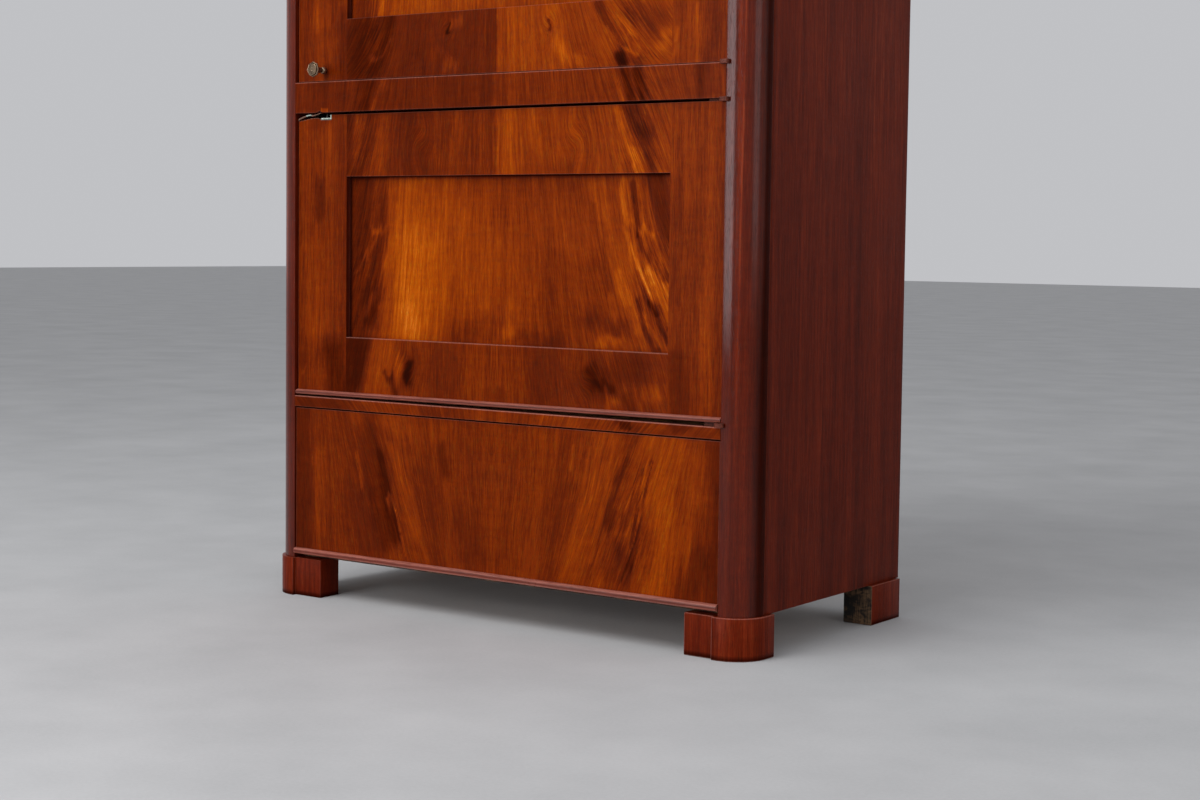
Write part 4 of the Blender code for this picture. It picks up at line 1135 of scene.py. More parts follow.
def lay_figure(mesh, node, foot, height, seed, leaf, plain, along):
    """Writes the veneer's figure on a mesh; its grain is one leaf of the same log as its neighbours.
    The plain corners, on its back, take the straight grain of the board that carries the veneer."""
    places = places_of(mesh)
    across, up = places[:, 0], places[:, 2] - foot
    tone, feather, sideways = figure_of(node, across, up, height, seed)
    tone[plain] = BACK_TONE
    feather[plain] = 0.0
    write_value(mesh, "tone", tone)
    write_value(mesh, "feather", feather)
    depth = places[:, 1] + LEAF_T * leaf
    log = np.stack((sideways, depth, places[:, 2]), axis=1)
    log[plain] = in_log(places[plain][:, GRAIN_ORDER[along]], seed) + CARRIER_SHIFT
    write_log(mesh, log)


def settle(piece):
    """Turns the result of a piece's modifiers into its plain mesh."""
    finished = piece.evaluated_get(bpy.context.evaluated_depsgraph_get())
    mesh = bpy.data.meshes.new_from_object(finished)
    piece.modifiers.clear()
    piece.data = mesh


def cut(piece, boxes):
    """Cuts blocks out of a piece."""
    shape = bmesh.new()
    for (x0, y0, z0), (x1, y1, z1) in boxes:
        made = bmesh.ops.create_cube(shape, size=1.0)["verts"]
        for corner in made:
            corner.co.x = x0 if corner.co.x < 0 else x1
            corner.co.y = y0 if corner.co.y < 0 else y1
            corner.co.z = z0 if corner.co.z < 0 else z1
    cutter = bpy.data.objects.new("cutter", finished_mesh("cutter", shape))
    bpy.context.scene.collection.objects.link(cutter)
    step = piece.modifiers.new("cut", "BOOLEAN")
    step.operation = "DIFFERENCE"
    step.solver = "EXACT"
    step.use_self = True
    step.object = cutter
    settle(piece)
    bpy.data.objects.remove(cutter)


# Depth of the grooves that hold the panels, and the hinges: the room round them, the width of an arm,
# how far it stands from the opening's side, and how far behind the front a plate lies
GROOVE_D = 0.008
HOUSING_ROOM = 0.0003
HINGE_ARM_W = 0.0085
HINGE_ARM_OFF = 0.0015
HINGE_PLATE_IN = 0.016


def housing_boxes(plate):
    """The room that a hinge plate takes in the wood, open at the front and at the right."""
    (x0, y0, z0), (x1, y1, z1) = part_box(plate)
    right = HALF_OPENING + HOUSING_ROOM
    plate_front = FRONT_Y + HINGE_PLATE_IN - HOUSING_ROOM
    arm_left = HALF_OPENING - HINGE_ARM_W - HINGE_ARM_OFF - HOUSING_ROOM
    low_z, high_z = z0 - HOUSING_ROOM, z1 + HOUSING_ROOM
    return [
        ((x0 - HOUSING_ROOM, plate_front, low_z), (right, y1 + HOUSING_ROOM, high_z)),
        ((arm_left, y0, low_z), (right, plate_front + HOUSING_ROOM, high_z)),
    ]


def house(piece, plates):
    """Cuts the room for hinge plates out of a piece."""
    boxes = [box for plate in plates for box in housing_boxes(plate)]
    if boxes:
        cut(piece, boxes)


def veneered(node, seed, leaf, left=None, right=None, foot=None, head=None, edges=(EDGE,) * 4, plates=(),
             extra=(), worn_and_lit=(FRONT_WEAR_AND_HIGHLIGHT,) * 4, along="x"):
    """A veneered member of the front, in place of its node. Edges and worn_and_lit, the wear and painted
    highlight of the edges, are those of its left, right, foot and head, and extra holds places across
    where its mesh is divided as well."""
    (x0, y0, z0), (x1, y1, z1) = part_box(node)
    left = x0 if left is None else left
    right = x1 if right is None else right
    foot = foot or (lambda x: z0)
    head = head or (lambda x: z1)
    board = Front(left, right, foot, head, y0, y1, edges, worn_and_lit, extra)
    name = f"{node}_wood"
    mesh = board.mesh(name)
    low_end, high_end = foot(left), z1
    if node.endswith("_panel"):
        low_end, high_end = low_end + GROOVE_D, high_end - GROOVE_D
    lay_figure(mesh, node, low_end, high_end - low_end, seed, leaf, board.plain, along)
    piece = mesh_piece(name, mesh, [VENEER, CASE_WOOD, PINE, EDGE_WOOD])
    house(piece, plates)
    return stand_for(piece, node, "front_mahogany")


# The lower door's foot edge slants, and its upper left corner is broken. The torn floor is uneven by two
# waves, each its radians to a metre, its start and its strength. The fresh break shows on faces that look
# up, down to a margin below the floor.
LOWER_LEFT_FOOT = low("lower_door_stile_left").z
STILE_HEAD = high("lower_door_stile_left").z
TORN_WALL = high("catch_lining").x + HOUSING_ROOM
TORN_DEPTH = 0.02
TORN_MARGIN = 0.0005
TORN_JAG = 0.0008
JAG_WAVES = ((2900, 0, 0.6), (7100, 1, 0.4))
BREAK_MARGIN = 0.004
FACING_UP = 0.3
SLANT = 0.0037
OPENING_W = 2 * HALF_OPENING


def lower_foot(x):
    """Lower edge of the lower door."""
    return LOWER_LEFT_FOOT + SLANT * (x + HALF_OPENING) / OPENING_W


def torn_corners():
    """Corners of the torn floor, from the left stile's own solid."""
    corners = set()
    for corner in frame["nodes"]["lower_door_stile_left"].data.vertices:
        x, _, z = corner.co
        if x < TORN_WALL + TORN_MARGIN and STILE_HEAD - TORN_DEPTH < z < STILE_HEAD - 2 * TORN_MARGIN:
            corners.add((round(x, 4), round(z, 4)))
    return sorted(corners)


TORN_CORNERS = torn_corners()

# The tear also bit into the band above: places across and how far up it goes
BITE = (
    (-0.4268, 0.0), (-0.4235, 0.0009), (-0.4205, 0.0023), (-0.4180, 0.0030), (-0.4150, 0.0019),
    (-0.4125, 0.0011), (-0.4095, 0.0),
)


def torn_head(x):
    """Upper edge of the lower door's left stile, with its torn floor."""
    if x > TORN_WALL:
        return STILE_HEAD
    floor = float(np.interp(x, *zip(*TORN_CORNERS)))
    jag = sum(TORN_JAG * share * math.sin(x * waves + start) for waves, start, share in JAG_WAVES)
    return floor - TORN_JAG + (jag if x < low("catch_lining").x else 0)


def bitten_foot(x):
    """Lower edge of the band between the doors."""
    return low("middle_band").z + float(np.interp(x, *zip(*BITE)))


def show_break(piece):
    """Gives the torn floor its fresh, broken wood."""
    piece.data.materials.append(BROKEN)
    lowest = min(z for _, z in TORN_CORNERS) - BREAK_MARGIN
    for face in piece.data.polygons:
        x, _, z = face.center
        if face.normal.z > FACING_UP and x < TORN_WALL and z > lowest:
            face.material_index = TORN_WOOD


# How strongly the head edges are painted lighter, a painted highlight that shows as a light line
LINE_HIGHLIGHT = 0.6
RAIL_LINE_HIGHLIGHT = 0.9


def build_front():
    """The doors, the rails between them and the drawer's front. The seed of each piece and its leaf in the
    veneer's log come first."""
    torn = veneered("lower_door_stile_left", 1, 31, foot=lower_foot, head=torn_head, along="z",
                    edges=(EDGE, 0, EDGE, INNER_EDGE), extra=(TORN_WALL - SHARP_STEP, TORN_WALL + SHARP_STEP))
    show_break(torn)
    veneered("lower_door_stile_right", 2, 37, foot=lower_foot, edges=(0, EDGE, EDGE, EDGE), along="z",
             head=lambda x: STILE_HEAD, plates=["lower_foot_door_plate", "lower_head_door_plate"])
    span = {"left": RECESS_LEFT, "right": RECESS_RIGHT}
    recess_foot = high("lower_door_rail_foot").z
    line_wear_and_highlight = (0, 0, FRONT_WEAR_AND_HIGHLIGHT, LINE_HIGHLIGHT)
    veneered("lower_door_rail_foot", 3, 4, foot=lower_foot, head=lambda x: recess_foot,
             edges=(0, 0, EDGE, LINE_EDGE), worn_and_lit=line_wear_and_highlight, **span)
    veneered("lower_door_rail_head", 4, 2, edges=(0, 0, INNER_EDGE, EDGE), **span)
    veneered("lower_door_panel", 5, 3, edges=(0,) * 4)

    veneered("upper_door_stile_left", 6, 43, edges=(EDGE, 0, EDGE, EDGE), along="z")
    veneered("upper_door_stile_right", 7, 47, edges=(0, EDGE, EDGE, EDGE), along="z",
             plates=["upper_foot_door_plate", "upper_head_door_plate"])
    veneered("upper_door_rail_foot", 8, 0, edges=(0, 0, EDGE, INNER_EDGE), **span)
    veneered("upper_door_rail_head", 9, 6, edges=(0, 0, INNER_EDGE, EDGE), **span)
    veneered("upper_door_panel", 10, 7, edges=(0,) * 4)

    line_edges = (0, 0, INNER_EDGE, LINE_EDGE)
    veneered("middle_band", 11, 1, edges=line_edges, worn_and_lit=line_wear_and_highlight, foot=bitten_foot,
             plates=["lower_head_case_plate", "upper_foot_case_plate"],
             extra=[x for x, _ in BITE] + patch_lines("middle_band"))
    veneered("thin_rail", 12, 9, edges=line_edges, worn_and_lit=(0, 0, FRONT_WEAR_AND_HIGHLIGHT, RAIL_LINE_HIGHLIGHT),
             plates=["lower_foot_case_plate"], extra=patch_lines("thin_rail"))
    veneered("frieze_rail", 13, 8, edges=(0, 0, EDGE, 0), plates=["upper_head_case_plate"])
    veneered("drawer_front", 14, 11)


# A bead's cells along its length, how strongly its painted highlight lines show, and how light it is
# painted, at shares of its height
BEAD_CELL = 0.02
BEAD_STEPS = 20
BEAD_HIGHLIGHT_SHARES = ((0.0, 0.30, 0.42, 0.62, 0.74, 1.0), (0.9, 0.9, 0.1, 0.1, 0.8, 1.0))
BEAD_PAINTED_LIGHT_SHARES = ((0.0, 0.30, 0.45, 0.65, 0.8), (0.30, 0.30, 0.0, 0.0, 0.12))


def bead(node, foot, tall, plates=()):
    """A half-round bead along the foot of a door or drawer."""
    (x0, y0, z0), (x1, y1, z1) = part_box(node)
    count = max(2, round((x1 - x0) / BEAD_CELL))
    shape = bmesh.new()
    rings = []
    for i in range(count + 1):
        x = x0 + (x1 - x0) * i / count
        ring = []
        for k in range(BEAD_STEPS + 1):
            angle = math.pi * k / BEAD_STEPS
            y = y1 - (y1 - y0) * math.sin(angle)
            ring.append(shape.verts.new((x, y, foot(x) + tall / 2 * (1 - math.cos(angle)))))
        rings.append(ring)
    mesh = skinned(f"{node}_wood", shape, rings)
    places = places_of(mesh)
    share = np.clip((places[:, 2] - foot(places[:, 0])) / tall, 0, 1)
    # Painted highlight lines along the bead's top and its lower half
    write_value(mesh, "wear_and_highlight", np.interp(share, *BEAD_HIGHLIGHT_SHARES))
    write_value(mesh, "tone", np.interp(share, *BEAD_PAINTED_LIGHT_SHARES))
    lay_grain(mesh, "x")
    piece = mesh_piece(f"{node}_wood", mesh, [BEAD_WOOD], BEAD_SMOOTH)
    house(piece, plates)
    return stand_for(piece, node, "front_mahogany")


def build_beads():
    """The beads along the foot of the lower door and of the drawer."""
    slanting_tall = high("lower_door_bead").z - low("lower_door_bead").z - SLANT
    bead("lower_door_bead", lower_foot, slanting_tall, ["lower_foot_door_plate"])
    foot, head = low("drawer_bead").z, high("drawer_bead").z
    bead("drawer_bead", lambda x: foot + 0 * x, head - foot)


# A post: the steps of its round part and of its height, the flat that meets the opening, and the small
# slants at its inner corners
POST_STEPS = 60
POST_ROWS = 60
POST_FLAT = 0.001
POST_SLANT = 0.0006


def post_outline(side):
    """Plan of a corner post, from its flat at the opening round to the side panel and back."""
    radius = POST_BACK - FRONT_Y - POST_FLAT
    centre_x, centre_y = HALF_WIDTH - radius, FRONT_Y + radius
    opening = HALF_WIDTH - (POST_BACK - FRONT_Y)
    outline = [(opening, POST_BACK), (opening, FRONT_Y + POST_SLANT), (opening + POST_SLANT, FRONT_Y)]
    for i in range(POST_STEPS + 1):
        angle = math.radians(-90 + 90 * i / POST_STEPS)
        outline.append((centre_x + radius * math.cos(angle), centre_y + radius * math.sin(angle)))
    outline += [(HALF_WIDTH, POST_BACK - POST_SLANT), (HALF_WIDTH - POST_SLANT, POST_BACK)]
    return [(side * x, y) for x, y in outline]


def loft(name, outline, heights):
    """An outline drawn out through heights; each corner of the mesh carries how far round it lies."""
    shape = bmesh.new()
    layer = shape.verts.layers.float.new("round")
    lengths = [0.0]
    for (x0, y0), (x1, y1) in zip(outline, outline[1:]):
        lengths.append(lengths[-1] + math.hypot(x1 - x0, y1 - y0))
    rings = []
    for z in heights:
        ring = []
        for (x, y), length in zip(outline, lengths):
            corner = shape.verts.new((x, y, z))
            corner[layer] = length
            ring.append(corner)
        rings.append(ring)
    return skinned(name, shape, rings)


# Bands of the posts, painted highlight where they are lighter and painted shade where they are darker,
# standing in for the shine on a rounded post: how far round they lie from the back inner corner, at
# POST_MIDDLE, and how much further a metre above; their half width; how much lighter or darker they
# are. Downwards between the heights of POST_FADE the light ones fade out and the dark ones widen by
# POST_WIDER. In the log, each post lies POST_LOG to its own side, and a share of its depth.
POST_MIDDLE = 0.95
POST_FADE = (0.35, 0.70)
POST_WIDER = 0.7
POST_LOG = 5
POST_DEPTH_SHARE = 0.2
POST_LIGHT_AND_SHADE = (
    (0.134, 0.0, 0.0115, -0.34),
    (0.0860, 0.010, 0.0016, 0.30),
    (0.0805, 0.004, 0.0050, 0.10),
    (0.0735, -0.003, 0.0020, -0.10),
    (0.0960, 0.0, 0.0050, 0.03),
)


def build_posts():
    """The rounded corner posts, with bands of painted highlight and painted shade along them."""
    for side, word in ((-1, "left"), (1, "right")):
        node = f"corner_post_{word}"
        foot, head = low(node).z, high(node).z
        heights = np.linspace(foot, head, POST_ROWS)
        mesh = loft(f"{node}_wood", post_outline(side), heights)
        lengths = np.zeros(len(mesh.vertices))
        mesh.attributes["round"].data.foreach_get("value", lengths)
        places = places_of(mesh)
        depth = places[:, 1] * POST_DEPTH_SHARE
        write_log(mesh, np.stack((lengths + POST_LOG * side, depth, places[:, 2]), axis=1))
        tone = np.zeros(len(lengths))
        above = np.interp(places[:, 2], POST_FADE, (0.0, 1.0))
        # Painted highlight bands and painted shade bands
        for at, drift, width, amount in POST_LIGHT_AND_SHADE:
            strength = amount * above if amount > 0 else amount
            reach = width if amount > 0 else width * (1 + POST_WIDER * (1 - above))
            away = (lengths - at - drift * (places[:, 2] - POST_MIDDLE)) / reach
            tone += strength * np.exp(-(away**2))
        write_value(mesh, "tone", tone)
        for name in ("feather", "wear_and_highlight"):
            write_value(mesh, name, np.zeros(len(places)))
        piece = mesh_piece(f"{node}_wood", mesh, [POST_WOOD], POST_SMOOTH)
        stand_for(piece, node, "case_mahogany")


# A face looks along a direction when this much of its normal lies in it
FACING_SHARE = 0.7


def line_inside(piece, material, *directions):
    """Gives the faces that look along the directions another material."""
    piece.data.materials.append(material)
    for face in piece.data.polygons:
        if any(face.normal.dot(Vector(facing)) > FACING_SHARE for facing in directions):
            face.material_index = 1


# How far the back boards' outer faces lie in, so that their nail heads stay inside the back
NAIL_ROOM = 0.0006
# Bands of a side panel: how far behind its front edge they lie, and how light they are; and heights,
# with how much lighter it is painted there, as painted light that grows towards the top
SIDE_BANDS = (0.006, 0.012, 0.050, 0.085, 0.130, 0.175, 0.215, 0.260, 0.310, 0.355, 0.400, 0.440, 0.475)
SIDE_SHADES = (-0.08, 0.05, 0.01, 0.09, 0.03, 0.10, 0.02, 0.07, 0.0, 0.08, 0.03, 0.07, 0.02)
SIDE_CUTS = (0.4, 0.7, 1.05, 1.6)
CUT_PAINTED_LIGHT = (0.0, 0.03, 0.10, 0.10)
# The groove between two planks of a back board, and how many pieces of wood apart in the log two boards
# lie; and for each side its joints, as shares of its width, and how dark or light each plank is
PLANK_GROOVE = 0.0013
PLANK_LOG_STEP = 3
PLANKS = {
    "left": ((0.31, 0.68), (0.02, -0.14, 0.08)),
    "right": ((0.36, 0.70), (-0.06, 0.10, -0.04)),
}


def planked_board(node, joints, tones):
    """A back board of three planks with a small groove at each joint, inside and outside."""
    (x0, y0, z0), (x1, y1, z1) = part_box(node)
    y1 -= NAIL_ROOM
    lines = [x0 + share * (x1 - x0) for share in joints]
    faces = []
    for y, inwards in ((y0, 1), (y1, -1)):
        face = [(x0 + EDGE, y)]
        for x in lines:
            face += [(x - PLANK_GROOVE, y), (x, y + inwards * PLANK_GROOVE), (x + PLANK_GROOVE, y)]
        faces.append(face + [(x1 - EDGE, y)])
    inner, outer = faces
    ends = [(x1, y0 + EDGE), (x1, y1 - EDGE)]
    outline = [(x0, y0 + EDGE)] + inner + ends + outer[::-1] + [(x0, y1 - EDGE)]
    mesh = loft(f"{node}_wood", outline, [z0, z1])
    plank = np.searchsorted(lines, places_of(mesh)[:, 0])
    write_value(mesh, "tone", np.array(tones)[plank])
    lay_grain(mesh, "z")
    write_log(mesh, in_log(places_of(mesh), plank + log_count * PLANK_LOG_STEP))
    stand_for(mesh_piece(f"{node}_wood", mesh, [OLD_PINE], PLANK_SMOOTH), node, "plain_pine")


def side_tone(places):
    """A side panel is darker along the post, in wide bands behind it, and a little lighter above, which is
    painted light.
    """
    front = low("side_panel_right").y
    tone = np.interp(places[:, 1], [front + part for part in SIDE_BANDS], SIDE_SHADES)
    # Painted light, lighter higher up
    return tone + np.interp(places[:, 2], SIDE_CUTS, CUT_PAINTED_LIGHT)


def build_case():
    """Posts, side panels, back boards, inner boards, bottom and cornice."""
    build_posts()
    for side, word in ((-1, "left"), (1, "right")):
        front_y = low(f"side_panel_{word}").y
        slices = [("y", [front_y + part for part in SIDE_BANDS]), ("z", SIDE_CUTS)]
        panel = plain_piece(f"side_panel_{word}", "case_mahogany", CASE_WOOD, tone=side_tone, slices=slices)
        line_inside(panel, PINE, (-side, 0, 0))
        planked_board(f"back_board_{word}", *PLANKS[word])
    for node in ("dust_board", "middle_floor", "top_board"):
        plain_piece(node, "plain_pine", PINE, "x")
    line_inside(plain_piece("bottom_board", "plain_pine", PINE, "x"), RAW, (0, -1, 0))
    plain_piece("cornice", "case_mahogany", CASE_WOOD, "x", edge=THIN_EDGE)


# Feet: heights over the floor with how light they are there, of which the first two end the painted shade
# just over the floor, how much darker the inner block of a front foot is, and how far from the opening's
# side that block begins
FOOT_HEIGHTS = (0.003, 0.010, 0.05)
FOOT_SHADES = (-0.30, 0.10, 0.15)
BLOCK_SHADE = -0.09
BLOCK_OFF = 0.001


def foot_tone(places):
    """Feet are painted dark with shade just over the floor, and are darker at their inner block."""
    # Painted shade just over the floor
    tone = np.interp(places[:, 2], FOOT_HEIGHTS, FOOT_SHADES)
    return tone + BLOCK_SHADE * (np.abs(places[:, 0]) < HALF_OPENING - BLOCK_OFF)


def build_feet():
    """The front feet, and the rear feet with bare wood on their inner faces."""
    slices = [("z", FOOT_HEIGHTS[:2])]
    look = {"slot": "case_mahogany", "material": CASE_WOOD, "tone": foot_tone, "slices": slices}
    for word, inwards in (("left", 1), ("right", -1)):
        plain_piece(f"front_foot_{word}", edge=FOOT_EDGE, smooth_angle=FOOT_SMOOTH, worn_and_lit=FOOT_WEAR_AND_HIGHLIGHT, **look)
        rear = plain_piece(f"rear_foot_{word}", edge=REAR_FOOT_EDGE, worn_and_lit=REAR_FOOT_WEAR_AND_HIGHLIGHT, **look)
        out = np.abs(places_of(rear.data)[:, 0])
        write_value(rear.data, "paler_outwards", (out - out.min()) / (out.max() - out.min()))
        line_inside(rear, RAW, (0, -1, 0), (inwards, 0, 0))


# Plain pine pieces: name, way of the grain and how far the edges are rounded
SINGLE_FITTINGS = (("shelf", "x", EDGE), ("clothes_rail", "x", INNER_EDGE))
PAIRED_FITTINGS = (
    ("shelf_cleat", "y", EDGE), ("rail_socket", "z", INNER_EDGE), ("drawer_runner", "y", EDGE),
    ("drawer_side", "y", EDGE),
)
LAST_FITTINGS = (
    ("door_stop_lower", "z", EDGE), ("door_stop_upper", "z", EDGE), ("drawer_back", "x", EDGE),
    ("drawer_bottom", "x", EDGE),
)


def build_fittings():
    """Shelf, clothes rail, drawer box, runners and door stops."""
    pairs = [(f"{name}_{word}", *rest) for word in ("left", "right") for name, *rest in PAIRED_FITTINGS]
    for node, along, edge in (*SINGLE_FITTINGS, *pairs, *LAST_FITTINGS):
        plain_piece(node, "plain_pine", PINE, along, edge)


# Steps round a turned piece, and the sides of the knob's rim
TURN_STEPS = 64
RIM_SIDES = 8


def turned_piece(name, profile, centre, material, closed=False):
    """A piece turned about a line that points out of the door's face. Each point of its profile is its
    radius and how far it stands out, and may add how much of it is eight-sided and how much dirt and
    painted shade darken it. A closed profile has a bore."""
    shape = bmesh.new()
    centre_x, centre_z = centre
    rings = []
    dirt = []
    for radius, out, *more in profile:
        share, soil_and_shade = (*more, 0.0, 0.0)[:2]
        ring = []
        steps = TURN_STEPS if radius > 0 else 1
        dirt += [soil_and_shade] * steps
        for step in range(steps):
            angle = 2 * math.pi * step / TURN_STEPS
            off_middle = angle % (2 * math.pi / RIM_SIDES) - math.pi / RIM_SIDES
            flat = math.cos(math.pi / RIM_SIDES) / math.cos(off_middle)
            reach = radius * (1 - share + share * flat)
            x, z = centre_x + reach * math.cos(angle), centre_z + reach * math.sin(angle)
            ring.append(shape.verts.new((x, DOOR_FACE - out, z)))
        rings.append(ring)
    mesh = skinned(name, shape, rings, closed)
    write_value(mesh, "dirt", dirt)
    return mesh_piece(name, mesh, [material], TURNED_SMOOTH)


# The knob from its spindle to the button in its middle, as turned_piece describes a profile
SPINDLE_R = 0.004
KNOB_PROFILE = (
    (SPINDLE_R, 0.0134, 0, 1), (0.0046, 0.0150, 0, 0.8), (0.0056, 0.0175, 0, 0.2), (0.0050, 0.0210, 0, 0.6),
    (0.0046, 0.0235, 0, 0.9), (0.0060, 0.0265, 0, 0.6), (0.0080, 0.0290, 0, 0.2), (0.0090, 0.0305),
    (0.0142, 0.0317, 1), (0.0142, 0.0345, 1), (0.0130, 0.0357, 1), (0.0124, 0.0355, 1, 0.6),
    (0.0117, 0.0344, 0.5, 1), (0.0109, 0.0344, 0, 1), (0.0105, 0.0353, 0, 0.6), (0.0103, 0.0365),
    (0.0097, 0.0371), (0.0086, 0.0372, 0, 0.2), (0.0082, 0.0365, 0, 0.9), (0.0078, 0.0365, 0, 0.9),
    (0.0074, 0.0373, 0, 0.2), (0.0058, 0.0375, 0, 0.1), (0.0054, 0.0368, 0, 0.9), (0.0050, 0.0368, 0, 0.9),
    (0.0046, 0.0374, 0, 0.2), (0.0028, 0.0375), (0.0020, 0.0369, 0, 0.6), (0.0, 0.0368, 0, 0.3),
)
# The collar: a ball with a bore, how far out its middle stands, the foot that it stands on, and the
# turned-off ends of the ball in degrees
BALL_R = 0.0068
BALL_OUT = 0.0070
BALL_BORE = 0.0043
COLLAR_FOOT_R = 0.0049
COLLAR_FOOT = (0.0003, 0.0014)
BALL_ANGLES = range(-46, 51, 8)
BORE_ANGLE = 52


def build_knob():
    """The turned brass knob and the ball-shaped collar behind it."""
    (x0, y0, z0), (x1, y1, z1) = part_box("door_knob")
    centre = ((x0 + x1) / 2, (z0 + z1) / 2)
    profile = [(SPINDLE_R, DOOR_FACE - y1), *KNOB_PROFILE]
    knob = turned_piece("knob_brass", profile, centre, BRASS)
    stand_for(knob, "door_knob", "aged_brass")
    near, far = COLLAR_FOOT
    ball = [(BALL_BORE, near, 0, 1), (COLLAR_FOOT_R, near, 0, 1), (COLLAR_FOOT_R, far, 0, 1)]
    for turn in map(math.radians, BALL_ANGLES):
        ball.append((BALL_R * math.cos(turn), BALL_OUT + BALL_R * math.sin(turn)))
    ball.append((BALL_BORE, BALL_OUT + BALL_R * math.sin(math.radians(BORE_ANGLE))))
    collar = turned_piece("collar_brass", ball, centre, BRASS, closed=True)
    stand_for(collar, "knob_collar", "aged_brass")


# Splinters in the torn corner: place across, height, thickness, and how far before the door's face
SPLINTER = (
    (-0.4784, 0.9070, 0.0006, 0.0006), (-0.4770, 0.9082, 0.0026, 0.0012), (-0.4730, 0.9098, 0.0036, 0.0018),
    (-0.4680, 0.9112, 0.0028, 0.0022), (-0.4620, 0.9130, 0.0036, 0.0024), (-0.4566, 0.9148, 0.0028, 0.0022),
)
BRIGHT_BIT = (
    (-0.4572, 0.9146, 0.0022, 0.0022), (-0.4545, 0.9154, 0.0036, 0.0026), (-0.4505, 0.9158, 0.0030, 0.0026),
    (-0.4465, 0.9162, 0.0034, 0.0022), (-0.4428, 0.9158, 0.0018, 0.0018),
)
SECOND_SPLINTER = (
    (-0.4440, 0.9152, 0.0008, 0.0014), (-0.4425, 0.9148, 0.0026, 0.0020), (-0.4400, 0.9152, 0.0036, 0.0020),
    (-0.4370, 0.9156, 0.0020, 0.0018), (-0.4335, 0.9160, 0.0028, 0.0018), (-0.4305, 0.9168, 0.0014, 0.0016),
    (-0.4270, 0.9176, 0.0024, 0.0016), (-0.4230, 0.9188, 0.0022, 0.0014), (-0.4190, 0.9200, 0.0004, 0.0012),
)
# Corners round a splinter, how thick it is for its height, and how uneven its corners are
SPLINTER_SIDES = 7
SPLINTER_FLATNESS = 0.8
UNEVEN = (0.75, 1.15)


def splinter(name, stops, material, seed):
    """A torn sliver along its stops, uneven all round."""
    chance = np.random.default_rng(seed)
    shape = bmesh.new()
    rings = []
    for x, z, tall, out in stops:
        ring = []
        for side in range(SPLINTER_SIDES):
            angle = 2 * math.pi * side / SPLINTER_SIDES
            reach = tall / 2 * chance.uniform(*UNEVEN)
            y = DOOR_FACE - out + SPLINTER_FLATNESS * reach * math.cos(angle)
            ring.append(shape.verts.new((x, y, z + reach * math.sin(angle))))
        rings.append(ring)
    mesh = skinned(name, shape, rings)
    piece = mesh_piece(name, mesh, [material])
    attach(piece, BODY_OF["lower_door_stile_left"])


def build_splinters():
    splinter("outer_splinter", SPLINTER, BROKEN, 15)
    splinter("torn_metal_bit", BRIGHT_BIT, PALE_METAL, 14)
    splinter("inner_splinter", SECOND_SPLINTER, BROKEN, 16)


# Screws and nails


# Inputs of the heads' tree, the radius of a head's top for that of its foot, and the length of the block
# that cuts the slot, in head radii
HEAD_INPUTS = (("Head radius", "Float"), ("Head height", "Float"), ("Slot width", "Float"), ("Seed", "Int"))
HEAD_TOP_SHARE = 0.62
SLOT_LENGTH = 3.0


def head_tree(name, material, sides, slotted):
    """Geometry nodes that set a screw or nail head on every point, facing the point's own way. Returns
    the tree with its inputs' identifiers."""
    tree = bpy.data.node_groups.new(name, "GeometryNodeTree")
    tree.interface.new_socket("Places", in_out="INPUT", socket_type="NodeSocketGeometry")
    identifiers = {}
    for label, kind in HEAD_INPUTS:
        made = tree.interface.new_socket(label, in_out="INPUT", socket_type=f"NodeSocket{kind}")
        identifiers[label] = made.identifier
    tree.interface.new_socket("Heads", in_out="OUTPUT", socket_type="NodeSocketGeometry")

    entry = add(tree, "NodeGroupInput").outputs
    radius, height = entry["Head radius"], entry["Head height"]
    head = add(tree, "GeometryNodeMeshCone", {
        "Vertices": sides, "Radius Top": times(tree, radius, HEAD_TOP_SHARE), "Radius Bottom": radius,
        "Depth": height,
    }).outputs["Mesh"]
    if slotted:
        length = times(tree, radius, SLOT_LENGTH)
        size = add(tree, "CombineXYZ", {"X": length, "Y": entry["Slot width"], "Z": height}).outputs[0]
        block = add(tree, "GeometryNodeMeshCube", {"Size": size}).outputs["Mesh"]
        rise = add(tree, "CombineXYZ", {"Z": height}).outputs[0]
        lifted = add(tree, "GeometryNodeTransform", {"Geometry": block, "Translation": rise}).outputs[0]
        cutting = {"Mesh 1": head, "Mesh 2": lifted}
        head = add(tree, "GeometryNodeMeshBoolean", cutting, operation="DIFFERENCE").outputs["Mesh"]
    named = add(tree, "GeometryNodeInputNamedAttribute", {"Name": "facing"}, data_type="FLOAT_VECTOR")
    facing = {"Vector": named.outputs["Attribute"]}
    upright = add(tree, "FunctionNodeAlignRotationToVector", facing, axis="Z").outputs[0]
    any_angle = {"Max": 2 * math.pi, "Seed": entry["Seed"]}
    angle = add(tree, "FunctionNodeRandomValue", any_angle, data_type="FLOAT").outputs[1]
    spin = {"Rotation": upright, "Rotate By": add(tree, "CombineXYZ", {"Z": angle}).outputs[0]}
    turned = add(tree, "FunctionNodeRotateRotation", spin, rotation_space="LOCAL").outputs[0]
    placing = {"Points": entry["Places"], "Instance": head, "Rotation": turned}
    heads = add(tree, "GeometryNodeInstanceOnPoints", placing).outputs[0]
    heads = add(tree, "GeometryNodeRealizeInstances", {"Geometry": heads}).outputs[0]
    heads = add(tree, "GeometryNodeSetMaterial", {"Geometry": heads, "Material": material}).outputs[0]
    add(tree, "NodeGroupOutput", {"Heads": heads})
    return tree, identifiers


# How far a head lies in the surface
SUNK = 0.0003


